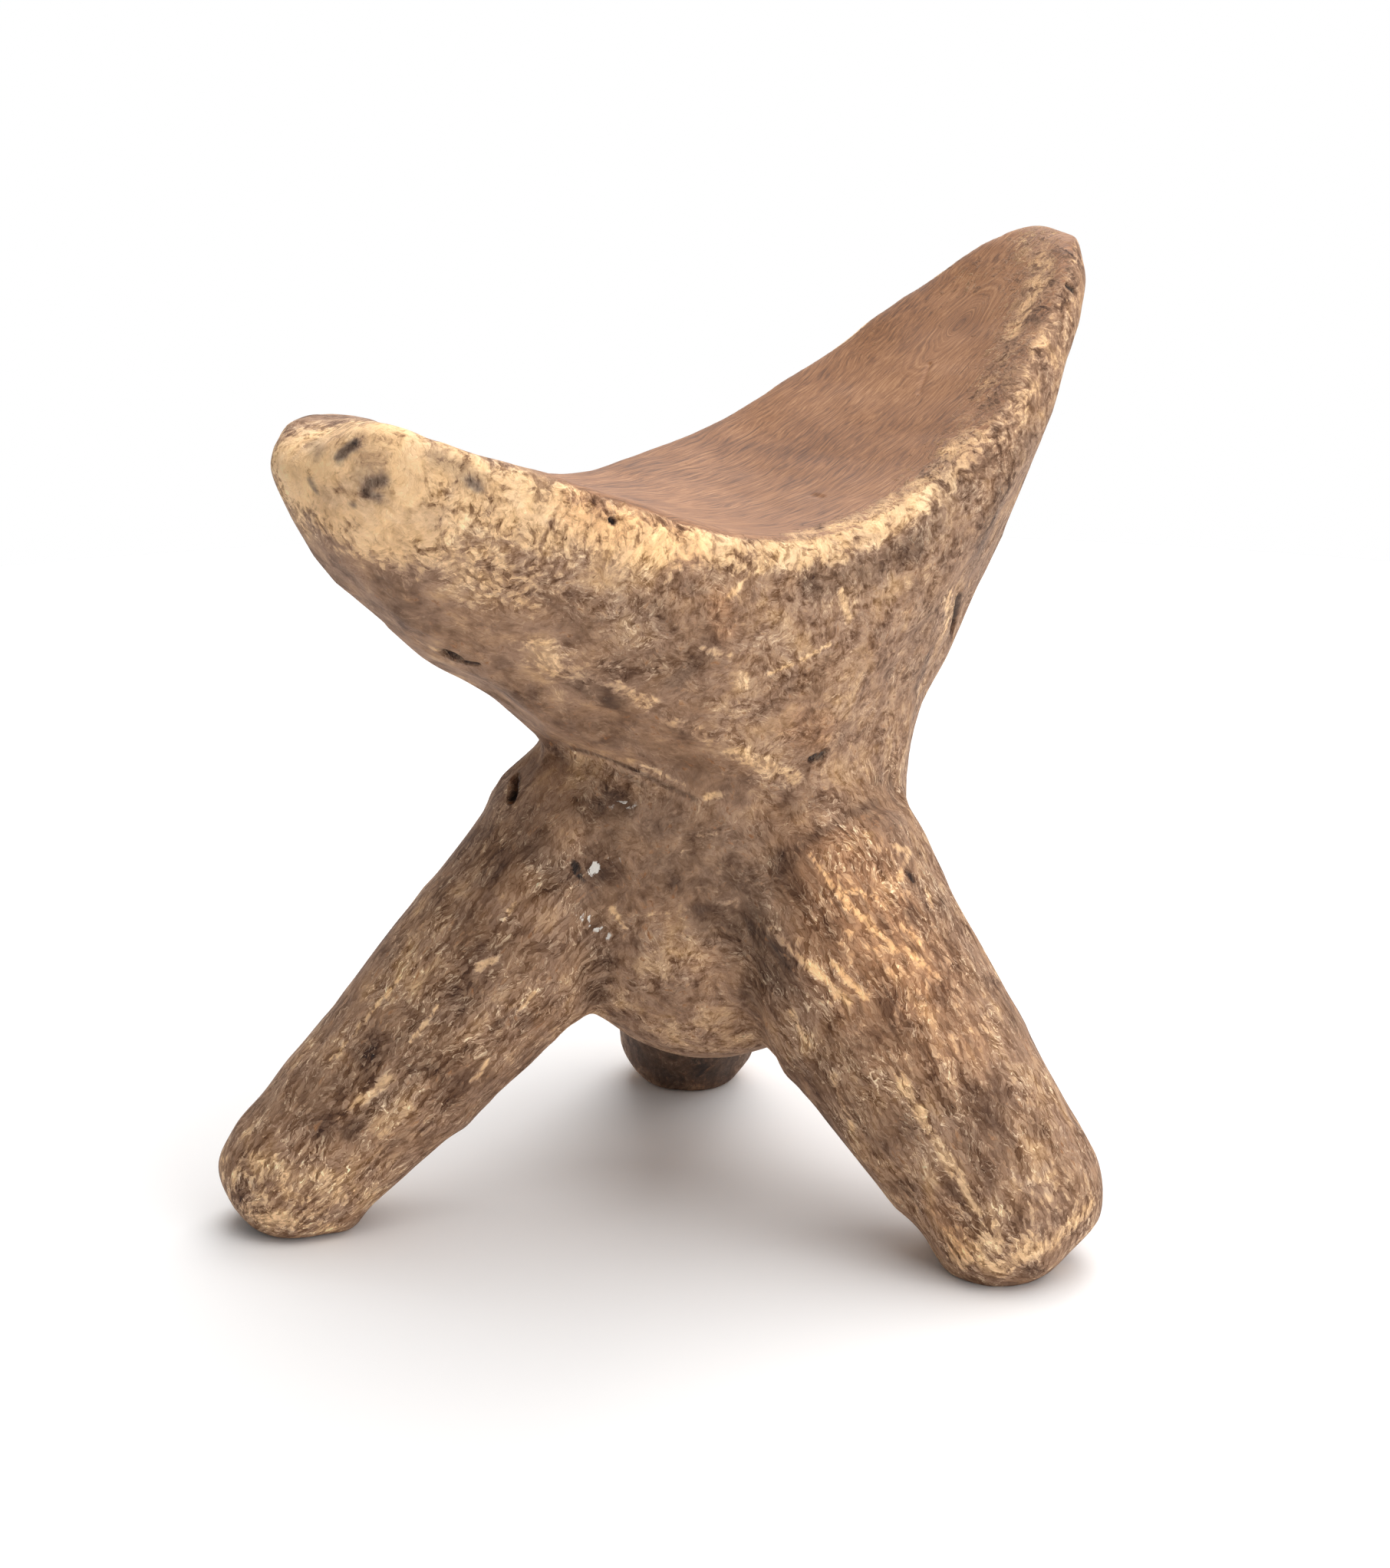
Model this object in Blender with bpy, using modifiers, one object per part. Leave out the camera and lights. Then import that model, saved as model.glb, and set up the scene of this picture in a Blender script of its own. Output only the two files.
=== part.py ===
"""Three-legged headrest stool, carved from one block of wood.

The saddle, the waist with its belly and the three legs are lofted as overlapping forms, blended into one
carved skin, and parted at the shoulder lines of the carving into five solids. Lengths are in metres and +Z
is up. The origin lies on the floor, under the middle of the stool's outline.
"""

import math

import bmesh
import bpy
from mathutils import Vector

# Saddle, along X, with the low horn at -X
SEAT_HEIGHT = 0.1365
SEAT_LOW_X = -0.002
SEAT_WIDTH = 0.077
SEAT_DISH = 0.0015
RIM_ROUND = 0.005
SIDE_BULGE = 0.0027
KEEL_WIDTH = 0.0245
KEEL_SAG = 0.0015
KEEL_END_SHARE = 0.5
RIDGE_END_SHARE = 0.74
RIDGE_END_RISE = 0.004
PLAN_POWER = 2.35
END_WIDTH_SHARE = 0.35
END_DEPTH_SHARE = 0.12

LEFT_REACH = 0.0866
LEFT_HORN_HEIGHT = 0.167
LEFT_HORN_DEPTH = 0.0292
LEFT_HORN_WIDTH = 0.0305
LEFT_SEAT_BEND = 0.35
LEFT_RIDGE_SWELL = 0.002
LEFT_END_ROUND = 0.0183

RIGHT_REACH = 0.0924
RIGHT_HORN_HEIGHT = 0.1905
RIGHT_HORN_DEPTH = 0.0255
RIGHT_HORN_WIDTH = 0.0165
RIGHT_SEAT_BEND = 0.56
RIGHT_RIDGE_SWELL = 0.008
RIGHT_END_ROUND = 0.0169

# Waist, the narrowest section, and the hub and the belly that hang under it
WAIST_X = 0.010
WAIST_HEIGHT = 0.0857
WAIST_LENGTH = 0.0624
WAIST_WIDTH = 0.0646
NECK_OVERLAP = 0.006
NECK_SPREAD = 0.010
HUB_WIDTH = 0.0662
HUB_DROP = 0.0244
HUB_FULLNESS = 0.002
BELLY_DEPTH = 0.0347

# Legs: bearing from +X, reach of the foot from the middle, drop of the root below the waist, widths
LEFT_LEG_BEARING = 159.7
LEFT_FOOT_REACH = 0.0842
LEFT_ROOT_DROP = 0.0105
LEFT_ROOT_WIDTH = 0.0458
LEFT_FOOT_WIDTH = 0.0311

RIGHT_LEG_BEARING = -72.6
RIGHT_FOOT_REACH = 0.0715
RIGHT_ROOT_DROP = 0.0132
RIGHT_ROOT_WIDTH = 0.0509
RIGHT_FOOT_WIDTH = 0.0369

REAR_LEG_BEARING = 57.9
REAR_FOOT_REACH = 0.0536
REAR_ROOT_DROP = 0.0186
REAR_ROOT_WIDTH = 0.0453
REAR_FOOT_WIDTH = 0.031

ROOT_REACH = 0.0159
FOOT_LIFT = 0.0092
FOOT_ROUND = 0.0172
FOOT_INSET = 0.0052
FOOT_BLUNTNESS = 0.8

# Carving: blend of the forms, facets, and the parting faces at the shoulders
CARVE_STEP = 0.0017
CARVE_PASSES = 14
CARVE_STRENGTH = 0.5
FACET_SHARE = 0.11
SHOULDER_RISE = 0.0043
SHOULDER_TILT = 10.0
SHOULDER_REACH = 0.031
PARTING_CLEARANCE = 0.0003
EDGE_ANGLE = 40.0

# Rings that the forms are lofted through
SECTION_STATIONS = 15
RING_POINTS = 24
NECK_RINGS = 4
BELLY_RINGS = 8
LEG_RINGS = 6
FOOT_RINGS = 5

# Wood colours
WOOD_COLOURS = {
    "saddle": (0.23, 0.125, 0.065, 1.0),
    "waist": (0.17, 0.095, 0.05, 1.0),
    "left_leg": (0.19, 0.11, 0.06, 1.0),
    "right_leg": (0.21, 0.12, 0.065, 1.0),
    "rear_leg": (0.15, 0.085, 0.048, 1.0),
}
WOOD_ROUGHNESS = 0.6


def clear_scene():
    for item in list(bpy.data.objects):
        bpy.data.objects.remove(item, do_unlink=True)


def loft(bm, rings):
    """Skin a run of closed rings that hold the same number of points, and cap both ends."""
    loops = [[bm.verts.new(point) for point in ring] for ring in rings]
    count = len(loops[0])
    for near, far in zip(loops, loops[1:]):
        for k in range(count):
            bm.faces.new((near[k], near[(k + 1) % count], far[(k + 1) % count], far[k]))
    bm.faces.new(list(reversed(loops[0])))
    bm.faces.new(loops[-1])


def rounded(outline):
    """Closed outline with a point put in along each side, by the four-point rule for smooth curves."""
    count = len(outline)
    finer = []
    for k, (y, z) in enumerate(outline):
        before, after, beyond = outline[k - 1], outline[(k + 1) % count], outline[(k + 2) % count]
        finer.append((y, z))
        finer.append(((9 * (y + after[0]) - before[0] - beyond[0]) / 16,
                      (9 * (z + after[1]) - before[1] - beyond[1]) / 16))
    return finer


class Horn:
    """One half of the saddle, from the seat's low point out to a horn's end."""

    def __init__(self, sign, reach, height, depth, width, seat_bend, ridge_swell, end_round):
        self.sign = sign
        self.reach = reach
        self.height = height
        self.depth = depth
        self.width = width
        self.seat_bend = seat_bend
        self.ridge_swell = ridge_swell
        self.end_round = end_round

    def section(self, t):
        """Ring of the saddle at share t of the reach: seat, rim, side, ridge and keel."""
        x = SEAT_LOW_X + self.sign * self.reach * t
        rise = (math.hypot(1.0, t / self.seat_bend) - 1.0) / (math.hypot(1.0, 1.0 / self.seat_bend) - 1.0)
        top = SEAT_HEIGHT + (self.height - SEAT_HEIGHT) * rise
        half = 0.5 * (self.width + (SEAT_WIDTH - self.width) * (1.0 - t ** PLAN_POWER))
        keel_end = self.height - self.depth
        waist_t = abs(WAIST_X + self.sign * WAIST_LENGTH / 2 - SEAT_LOW_X) / self.reach
        if t < waist_t:
            over_waist = math.sqrt(1.0 - (t / waist_t) ** 2)
            keel = WAIST_HEIGHT - NECK_OVERLAP * over_waist
            keel_half = max(KEEL_WIDTH, WAIST_WIDTH * over_waist) / 2
        else:
            out = (t - waist_t) / (1.0 - waist_t)
            keel = WAIST_HEIGHT + (keel_end - WAIST_HEIGHT) * out - KEEL_SAG * math.sin(math.pi * out)
            keel_half = 0.5 * (KEEL_WIDTH + (KEEL_END_SHARE * self.width - KEEL_WIDTH) * out)
        ridge = WAIST_HEIGHT + (keel_end + RIDGE_END_RISE - WAIST_HEIGHT) * t
        ridge_half = 0.5 * (WAIST_WIDTH + (RIDGE_END_SHARE * self.width - WAIST_WIDTH) * t)
        ridge_half += self.ridge_swell * math.sin(math.pi * t)
        rim_inset = RIM_ROUND * (1.0 - math.sqrt(0.5))
        side = ((half + ridge_half) / 2 + SIDE_BULGE, (top - RIM_ROUND + ridge) / 2)
        under = ((ridge_half + keel_half) / 2, (ridge + keel) / 2)
        outline = [
            (half / 2, top - SEAT_DISH * (1.0 - 0.5 ** 2)),
            (half - RIM_ROUND, top),
            (half - rim_inset, top - rim_inset),
            (half, top - RIM_ROUND),
            side,
            (ridge_half, ridge),
            under,
            (keel_half, keel),
        ]
        outline = [(0.0, top - SEAT_DISH)] + outline + [(0.0, keel)]
        outline += [(-y, z) for y, z in reversed(outline[1:-1])]
        outline = rounded(outline)
        past = max(0.0, (t - 1.0) * self.reach / self.end_round + 1.0)
        full = math.sqrt(1.0 - past * past)
        across = END_WIDTH_SHARE + (1.0 - END_WIDTH_SHARE) * full
        down = max(END_DEPTH_SHARE, full)
        middle = 0.5 * (top + keel)
        return [Vector((x, y * across, middle + (z - middle) * down)) for y, z in outline]


LEFT_HORN = Horn(-1, LEFT_REACH, LEFT_HORN_HEIGHT, LEFT_HORN_DEPTH, LEFT_HORN_WIDTH, LEFT_SEAT_BEND,
                 LEFT_RIDGE_SWELL, LEFT_END_ROUND)
RIGHT_HORN = Horn(1, RIGHT_REACH, RIGHT_HORN_HEIGHT, RIGHT_HORN_DEPTH, RIGHT_HORN_WIDTH, RIGHT_SEAT_BEND,
                  RIGHT_RIDGE_SWELL, RIGHT_END_ROUND)


def saddle_rings():
    shares = [math.sin(math.pi / 2 * k / SECTION_STATIONS) for k in range(SECTION_STATIONS + 1)]
    left = [LEFT_HORN.section(t) for t in reversed(shares)]
    right = [RIGHT_HORN.section(t) for t in shares[1:]]
    return left + right


def ellipse(centre, half_x, half_y):
    turn = 2 * math.pi / RING_POINTS
    return [centre + Vector((half_x * math.cos(k * turn), half_y * math.sin(k * turn), 0.0))
            for k in range(RING_POINTS)]


def neck_ring(share, lift=0.0):
    """Ring of the neck at a share of the way down from the waist to the hub."""
    swell = HUB_FULLNESS * math.sin(math.pi * share)
    spread = NECK_SPREAD / 2 * (1.0 - share)
    half_x = 0.5 * (WAIST_LENGTH + (HUB_WIDTH - WAIST_LENGTH) * share) + swell + spread
    half_y = 0.5 * (WAIST_WIDTH + (HUB_WIDTH - WAIST_WIDTH) * share) + swell
    height = WAIST_HEIGHT - HUB_DROP * share + lift
    return ellipse(Vector((WAIST_X * (1.0 - share) - spread, 0.0, height)), half_x, half_y)


def waist_rings():
    """Rings from the neck inside the saddle down to the bottom of the belly."""
    rings = [neck_ring(0.0, lift=NECK_OVERLAP)]
    rings += [neck_ring(k / NECK_RINGS) for k in range(NECK_RINGS)]
    for k in range(BELLY_RINGS):
        angle = math.pi / 2 * k / BELLY_RINGS
        height = WAIST_HEIGHT - HUB_DROP - BELLY_DEPTH * math.sin(angle)
        radius = HUB_WIDTH / 2 * math.cos(angle)
        rings.append(ellipse(Vector((0.0, 0.0, height)), radius, radius))
    return list(reversed(rings))


class Leg:
    """A tapered round leg, from its root in the hub to its rounded foot."""

    def __init__(self, bearing, foot_reach, root_drop, root_width, foot_width):
        turn = math.radians(bearing)
        self.out = Vector((math.cos(turn), math.sin(turn), 0.0))
        self.root = self.out * ROOT_REACH + Vector((0.0, 0.0, WAIST_HEIGHT - root_drop))
        self.foot = self.out * foot_reach + Vector((0.0, 0.0, FOOT_LIFT))
        self.root_width = root_width
        self.foot_width = foot_width

    def rings(self):
        """Round rings square to the leg's axis, closing in over the end of the foot."""
        axis = (self.foot - self.root).normalized()
        across = axis.cross(Vector((0.0, 0.0, 1.0))).normalized()
        lift = across.cross(axis)
        straight = (self.foot - self.root).length - FOOT_INSET
        taper = self.foot_width - self.root_width
        shares = [k / LEG_RINGS for k in range(LEG_RINGS + 1)]
        stations = [(straight * share, self.root_width + taper * share) for share in shares]
        for k in range(1, FOOT_RINGS + 1):
            angle = math.pi / 2 * k / (FOOT_RINGS + 1)
            width = self.foot_width * math.cos(angle) ** FOOT_BLUNTNESS
            stations.append((straight + FOOT_ROUND * math.sin(angle), width))
        turn = 2 * math.pi / RING_POINTS
        rings = []
        for along, width in stations:
            centre = self.root + axis * along
            rings.append([centre + (across * math.cos(k * turn) + lift * math.sin(k * turn)) * width / 2
                          for k in range(RING_POINTS)])
        return rings


LEGS = {
    "left_leg": Leg(LEFT_LEG_BEARING, LEFT_FOOT_REACH, LEFT_ROOT_DROP, LEFT_ROOT_WIDTH, LEFT_FOOT_WIDTH),
    "right_leg": Leg(RIGHT_LEG_BEARING, RIGHT_FOOT_REACH, RIGHT_ROOT_DROP, RIGHT_ROOT_WIDTH,
                     RIGHT_FOOT_WIDTH),
    "rear_leg": Leg(REAR_LEG_BEARING, REAR_FOOT_REACH, REAR_ROOT_DROP, REAR_ROOT_WIDTH, REAR_FOOT_WIDTH),
}


def carved_skin():
    """Mesh of the whole stool: the forms grown together, smoothed and faceted, standing on the floor."""
    bm = bmesh.new()
    loft(bm, saddle_rings())
    loft(bm, waist_rings())
    for leg in LEGS.values():
        loft(bm, leg.rings())
    bmesh.ops.recalc_face_normals(bm, faces=bm.faces)
    mesh = bpy.data.meshes.new("forms")
    bm.to_mesh(mesh)
    bm.free()
    forms = bpy.data.objects.new("forms", mesh)
    bpy.context.scene.collection.objects.link(forms)
    remesh = forms.modifiers.new("grow_together", "REMESH")
    remesh.mode = "VOXEL"
    remesh.voxel_size = CARVE_STEP
    smooth = forms.modifiers.new("carve", "SMOOTH")
    smooth.factor = CARVE_STRENGTH
    smooth.iterations = CARVE_PASSES
    facet = forms.modifiers.new("facet", "DECIMATE")
    facet.ratio = FACET_SHARE
    skin = bpy.data.meshes.new_from_object(forms.evaluated_get(bpy.context.evaluated_depsgraph_get()))
    bpy.data.objects.remove(forms, do_unlink=True)
    return skin


def cut(bm, point, normal):
    """Saw the body at a plane, keep the side that the normal points away from, and close the cut."""
    geometry = bm.verts[:] + bm.edges[:] + bm.faces[:]
    sawn = bmesh.ops.bisect_plane(bm, geom=geometry, dist=1e-7, plane_co=point, plane_no=normal,
                                  clear_outer=True)
    rim = [edge for edge in sawn["geom_cut"] if isinstance(edge, bmesh.types.BMEdge)]
    bmesh.ops.edgeloop_fill(bm, edges=rim)


def piece(name, skin, planes, place, collection):
    """One solid of the stool: the carved skin sawn at each plane and set in its place."""
    bm = bmesh.new()
    bm.from_mesh(skin)
    for point, normal in planes:
        cut(bm, point, normal)
    bmesh.ops.translate(bm, verts=bm.verts, vec=place)
    bmesh.ops.triangulate(bm, faces=bm.faces)
    bmesh.ops.recalc_face_normals(bm, faces=bm.faces)
    mesh = bpy.data.meshes.new(name)
    bm.to_mesh(mesh)
    bm.free()
    mesh.shade_smooth()
    mesh.set_sharp_from_angle(angle=math.radians(EDGE_ANGLE))
    mesh.materials.append(wood(name))
    item = bpy.data.objects.new(name, mesh)
    collection.objects.link(item)
    return item


def wood(name):
    material = bpy.data.materials.new(name + "_wood")
    material.use_nodes = True
    shader = material.node_tree.nodes["Principled BSDF"]
    shader.inputs["Base Color"].default_value = WOOD_COLOURS[name]
    shader.inputs["Roughness"].default_value = WOOD_ROUGHNESS
    shader.inputs["Metallic"].default_value = 0.0
    return material


def main():
    clear_scene()
    collection = bpy.data.collections.new("headrest_stool")
    bpy.context.scene.collection.children.link(collection)
    skin = carved_skin()
    up = Vector((0.0, 0.0, 1.0))
    floor = (Vector(), -up)
    gap = PARTING_CLEARANCE / 2
    points = [vertex.co for vertex in skin.vertices]
    middle = [0.5 * (min(p[k] for p in points) + max(p[k] for p in points)) for k in range(2)]
    place = Vector((-middle[0], -middle[1], 0.0))
    tilt = math.radians(SHOULDER_TILT)
    shoulder = Vector((0.0, -math.sin(tilt), math.cos(tilt)))
    crease = up * (WAIST_HEIGHT + SHOULDER_RISE)
    under_saddle = crease - shoulder * gap
    piece("saddle", skin, [(crease + shoulder * gap, -shoulder)], place, collection)
    inside = [(leg.out * (SHOULDER_REACH - gap), leg.out) for leg in LEGS.values()]
    piece("waist", skin, [(under_saddle, shoulder)] + inside, place, collection)
    for name, leg in LEGS.items():
        outside = (leg.out * (SHOULDER_REACH + gap), -leg.out)
        piece(name, skin, [(under_saddle, shoulder), outside, floor], place, collection)
    bpy.data.meshes.remove(skin)
    return place


PLACE = main()
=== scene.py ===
"""Looks of the carved headrest stool.

The five solids of the frame are grown into one wooden skin, which is adzed, worn, pitted and stained as a
whole, with painted shade in its hollows, holes and creases and under the saddle, and painted highlights on
glossy spots beside the neck, so that fibres and patina run on from piece to piece. The skin is then parted
again at the carving's shoulder lines, and each part stands for its own solid. Lengths are in metres, but in
millimetres in the tables of bends, dents and marks, whose places are pixels of the photograph.
"""

import logging
import math
from dataclasses import dataclass, field
from enum import Enum

import bmesh
import bpy
import numpy as np
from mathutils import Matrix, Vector, noise
from mathutils.bvhtree import BVHTree


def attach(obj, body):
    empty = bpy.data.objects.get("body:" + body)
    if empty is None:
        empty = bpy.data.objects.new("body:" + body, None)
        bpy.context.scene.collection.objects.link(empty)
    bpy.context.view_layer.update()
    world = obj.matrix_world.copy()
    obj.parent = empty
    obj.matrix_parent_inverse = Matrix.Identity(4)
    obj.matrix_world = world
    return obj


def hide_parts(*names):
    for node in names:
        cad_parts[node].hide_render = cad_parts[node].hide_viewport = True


LOG = logging.getLogger("headrest_stool")
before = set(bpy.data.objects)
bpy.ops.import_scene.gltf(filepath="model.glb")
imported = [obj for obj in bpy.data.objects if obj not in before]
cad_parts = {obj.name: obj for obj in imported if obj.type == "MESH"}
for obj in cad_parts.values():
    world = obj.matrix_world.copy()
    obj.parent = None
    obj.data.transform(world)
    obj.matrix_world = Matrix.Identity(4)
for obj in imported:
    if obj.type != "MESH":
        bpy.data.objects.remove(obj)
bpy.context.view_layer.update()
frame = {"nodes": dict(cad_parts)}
BODY = "root"
MM = 0.001

Pixel = tuple[float, float]
Range = tuple[float, float]
Triple = tuple[float, float, float]
Colour = Triple
Tones = tuple[tuple[float, Colour], ...]
Socket = bpy.types.NodeSocket
Feed = Socket | float | Triple


def ease(low: float, high: float, values: np.ndarray) -> np.ndarray:
    """Smooth step from 0 at low to 1 at high.

    Args:
        low: Value at which the step starts.
        high: Value at which the step ends, which may be the smaller one.
        values: Numbers to map.

    Returns:
        The mapped numbers, from 0 to 1.
    """
    share = np.clip((values - low) / (high - low), 0.0, 1.0)
    return share * share * (3.0 - 2.0 * share)


@dataclass(frozen=True)
class PhotoCamera:
    """The photograph's viewpoint, fitted to the outline of the stool."""

    azimuth: float = -36.82
    elevation: float = 15.8
    yaw: float = 0.26
    pitch: float = 0.81
    distance: float = 0.60535
    focus_px: float = 4111.06
    width_px: int = 1812
    height_px: int = 2044
    sensor_mm: float = 36.0
    aim: Triple = (0.0009, 0.0122, 0.090)

    @staticmethod
    def back(azimuth: float, elevation: float) -> Vector:
        """Direction from the aim towards a camera at this azimuth and elevation, in degrees."""
        turn, lift = math.radians(azimuth), math.radians(elevation)
        return Vector((math.sin(turn) * math.cos(lift), -math.cos(turn) * math.cos(lift), math.sin(lift)))

    def place(self) -> Vector:
        """Position of the lens."""
        return Vector(self.aim) + self.back(self.azimuth, self.elevation) * self.distance

    def axes(self) -> tuple[Vector, Vector, Vector]:
        """Find the directions of the picture.

        Returns:
            The right, up and forward directions.
        """
        forward = -self.back(self.azimuth + self.yaw, self.elevation + self.pitch)
        right = forward.cross(Vector((0.0, 0.0, 1.0))).normalized()
        return right, right.cross(forward), forward

    def ray(self, pixel: Pixel) -> Vector:
        """Find the direction in which a pixel of the photograph looks.

        Args:
            pixel: Place in the photograph, across and down.

        Returns:
            The unit direction from the lens.
        """
        right, up, forward = self.axes()
        across = (pixel[0] - self.width_px / 2) / self.focus_px
        above = (self.height_px / 2 - pixel[1]) / self.focus_px
        return (forward + right * across + up * above).normalized()

    def build(self) -> bpy.types.Object:
        """Make the camera and hand it to the scene.

        Returns:
            The camera object.
        """
        data = bpy.data.cameras.new("photo_camera")
        data.sensor_width = self.sensor_mm
        data.lens = self.focus_px * self.sensor_mm / self.height_px
        camera = bpy.data.objects.new("photo_camera", data)
        camera.location = self.place()
        camera.rotation_euler = self.axes()[2].to_track_quat("-Z", "Y").to_euler()
        bpy.context.scene.collection.objects.link(camera)
        bpy.context.scene.camera = camera
        return camera


class StainAndShade(Enum):
    """Soft masks that are painted into the skin and read by its material; besides wear, polish and tints they
    hold painted shade (DARK in part, and HOLLOW) and painted highlights (GLINT).
    """

    WORN = "worn"
    # dark stains and soot, and painted shade in holes, creases, hollows and under the saddle
    DARK = "dark"
    RED = "red"
    # glossy spots, whose pale colour is a painted highlight
    GLINT = "glint"
    RUBBED = "rubbed"
    POLISH = "polish"
    EDGE = "edge"
    # painted shade in concave hollows and in pits
    HOLLOW = "hollow"


@dataclass(frozen=True)
class Mark:
    """A patch or streak of a mask, along pixels of the photograph: of wear, tint or dirt, or of painted shade
    or a painted highlight.
    """

    reach: float
    strength: float
    pixels: tuple[Pixel, ...]


@dataclass(frozen=True)
class Dent:
    """A pit, hole, cut or swelling of the surface, along pixels of the photograph."""

    reach: float
    depth: float
    pixels: tuple[Pixel, ...]


@dataclass(frozen=True)
class Bend:
    """A broad shift of the form across the picture, round a pixel of the photograph."""

    pixel: Pixel
    right: float
    up: float
    reach: float


@dataclass(frozen=True)
class Adze:
    """The tool that leaves flat facets, longer along the grain."""

    strokes: int = 700
    half_width: float = 6.5 * MM
    half_length: float = 15.0 * MM
    depth: float = 0.28 * MM
    bite: Range = (0.4, 1.4)
    deepest: float = 2.0
    facing: float = 0.6
    fade: float = 0.75
    flat_passes: int = 12


@dataclass
class CarvedSkin:
    """The stool's whole surface, kept as a mesh with its points and normals as arrays."""

    step: float = 0.9 * MM
    overlap: float = 0.25 * MM
    join: float = 0.01 * MM
    even_passes: int = 16
    even_steps: Range = (0.5, -0.53)
    seed: int = 11
    mesh: bpy.types.Mesh = field(init=False)
    co: np.ndarray = field(init=False)
    normals: np.ndarray = field(init=False)
    edges: np.ndarray = field(init=False)
    degree: np.ndarray = field(init=False)

    def grow(self, nodes: dict[str, bpy.types.Object]) -> None:
        """Grow the frame's solids into one closed skin.

        Args:
            nodes: The frame's objects by node name.
        """
        bm = bmesh.new()
        for name in sorted(nodes):
            bm.from_mesh(nodes[name].data)
        bmesh.ops.remove_doubles(bm, verts=bm.verts, dist=self.join)
        bm.normal_update()
        for vertex in bm.verts:
            vertex.co += vertex.normal * self.overlap
        mesh = bpy.data.meshes.new("forms")
        bm.to_mesh(mesh)
        bm.free()
        forms = bpy.data.objects.new("forms", mesh)
        bpy.context.scene.collection.objects.link(forms)
        remesh = forms.modifiers.new("grow_together", "REMESH")
        remesh.mode = "VOXEL"
        remesh.voxel_size = self.step
        depsgraph = bpy.context.evaluated_depsgraph_get()
        self.mesh = bpy.data.meshes.new_from_object(forms.evaluated_get(depsgraph))
        self.mesh.name = "skin"
        bpy.data.objects.remove(forms, do_unlink=True)
        bpy.data.meshes.remove(mesh)
        self.read()
        self.even_out(self.even_passes)
        self.push(np.full(len(self.co), -self.overlap))
        LOG.info("skin: %d points", len(self.co))

    def read(self) -> None:
        """Read points, edges and normals from the mesh."""
        count = len(self.mesh.vertices)
        self.co = np.empty((count, 3), np.float32)
        self.mesh.vertices.foreach_get("co", self.co.ravel())
        self.edges = np.empty((len(self.mesh.edges), 2), np.int32)
        self.mesh.edges.foreach_get("vertices", self.edges.ravel())
        self.degree = np.bincount(self.edges.ravel(), minlength=count).astype(np.float32)
        self.read_normals()

    def read_normals(self) -> None:
        """Write the points to the mesh and read its normals."""
        self.mesh.vertices.foreach_set("co", self.co.ravel())
        self.mesh.update()
        self.normals = np.empty_like(self.co)
        self.mesh.vertex_normals.foreach_get("vector", self.normals.ravel())

    def neighbour_mean(self, values: np.ndarray) -> np.ndarray:
        """Average values over each point's neighbours.

        Args:
            values: One number or one vector for each point.

        Returns:
            The means, in the same shape.
        """
        first, second = self.edges[:, 0], self.edges[:, 1]
        columns = values.reshape(len(values), -1)
        total = np.empty_like(columns)
        for k in range(columns.shape[1]):
            total[:, k] = np.bincount(first, columns[second, k], len(values))
            total[:, k] += np.bincount(second, columns[first, k], len(values))
        return (total / self.degree[:, None]).reshape(values.shape)

    def even_out(self, passes: int) -> None:
        """Smooth the points without shrinking the form.

        Args:
            passes: Number of rounds of one inward and one outward step.
        """
        for _ in range(passes):
            for factor in self.even_steps:
                self.co += factor * (self.neighbour_mean(self.co) - self.co)
        self.read_normals()

    def blur(self, values: np.ndarray, passes: int) -> np.ndarray:
        """Average values over their neighbours several times.

        Args:
            values: One number or one vector for each point.
            passes: Number of rounds.

        Returns:
            The blurred values.
        """
        for _ in range(passes):
            values = 0.5 * (values + self.neighbour_mean(values))
        return values

    def push(self, amounts: np.ndarray) -> None:
        """Move each point along its normal, by a length of its own."""
        self.co += self.normals * amounts[:, None].astype(np.float32)
        self.read_normals()

    def shift(self, start: Vector, ray: Vector, move: Vector, reach: float) -> None:
        """Shift the form round a line of sight, less and less up to a distance.

        Args:
            start: Point on the line.
            ray: Unit direction of the line.
            move: Shift on the line.
            reach: Distance from the line at which the shift has faded out.
        """
        aside = np.linalg.norm(np.cross(self.co - np.array(start), np.array(ray)), axis=1)
        self.co += (ease(reach, 0.0, aside)[:, None] * np.array(move)).astype(np.float32)

    def wear(self, share: np.ndarray, passes: int) -> None:
        """Rub edges round.

        Args:
            share: How strongly each point is rubbed, from 0 to 1.
            passes: Number of rounds.
        """
        for _ in range(passes):
            self.co += (0.5 * share[:, None] * (self.neighbour_mean(self.co) - self.co)).astype(np.float32)
        self.read_normals()

    def refine(self, paths: list[np.ndarray], reach: float) -> None:
        """Halve the mesh's step round small pits and cuts.

        Args:
            paths: Paths in space that need a finer mesh.
            reach: Distance from a path that is refined.
        """
        near = np.min([self.distance(path, reach) for path in paths], axis=0) < reach
        bm = bmesh.new()
        bm.from_mesh(self.mesh)
        edges = [edge for edge in bm.edges if near[edge.verts[0].index] and near[edge.verts[1].index]]
        bmesh.ops.subdivide_edges(bm, edges=edges, cuts=1, use_grid_fill=True)
        bmesh.ops.triangulate(bm, faces=[face for face in bm.faces if len(face.verts) > 4])
        bm.to_mesh(self.mesh)
        bm.free()
        self.read()

    def tree(self) -> BVHTree:
        """Search tree of the skin as it is now."""
        return BVHTree.FromPolygons([v.co for v in self.mesh.vertices],
                                    [tuple(p.vertices) for p in self.mesh.polygons])

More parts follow.
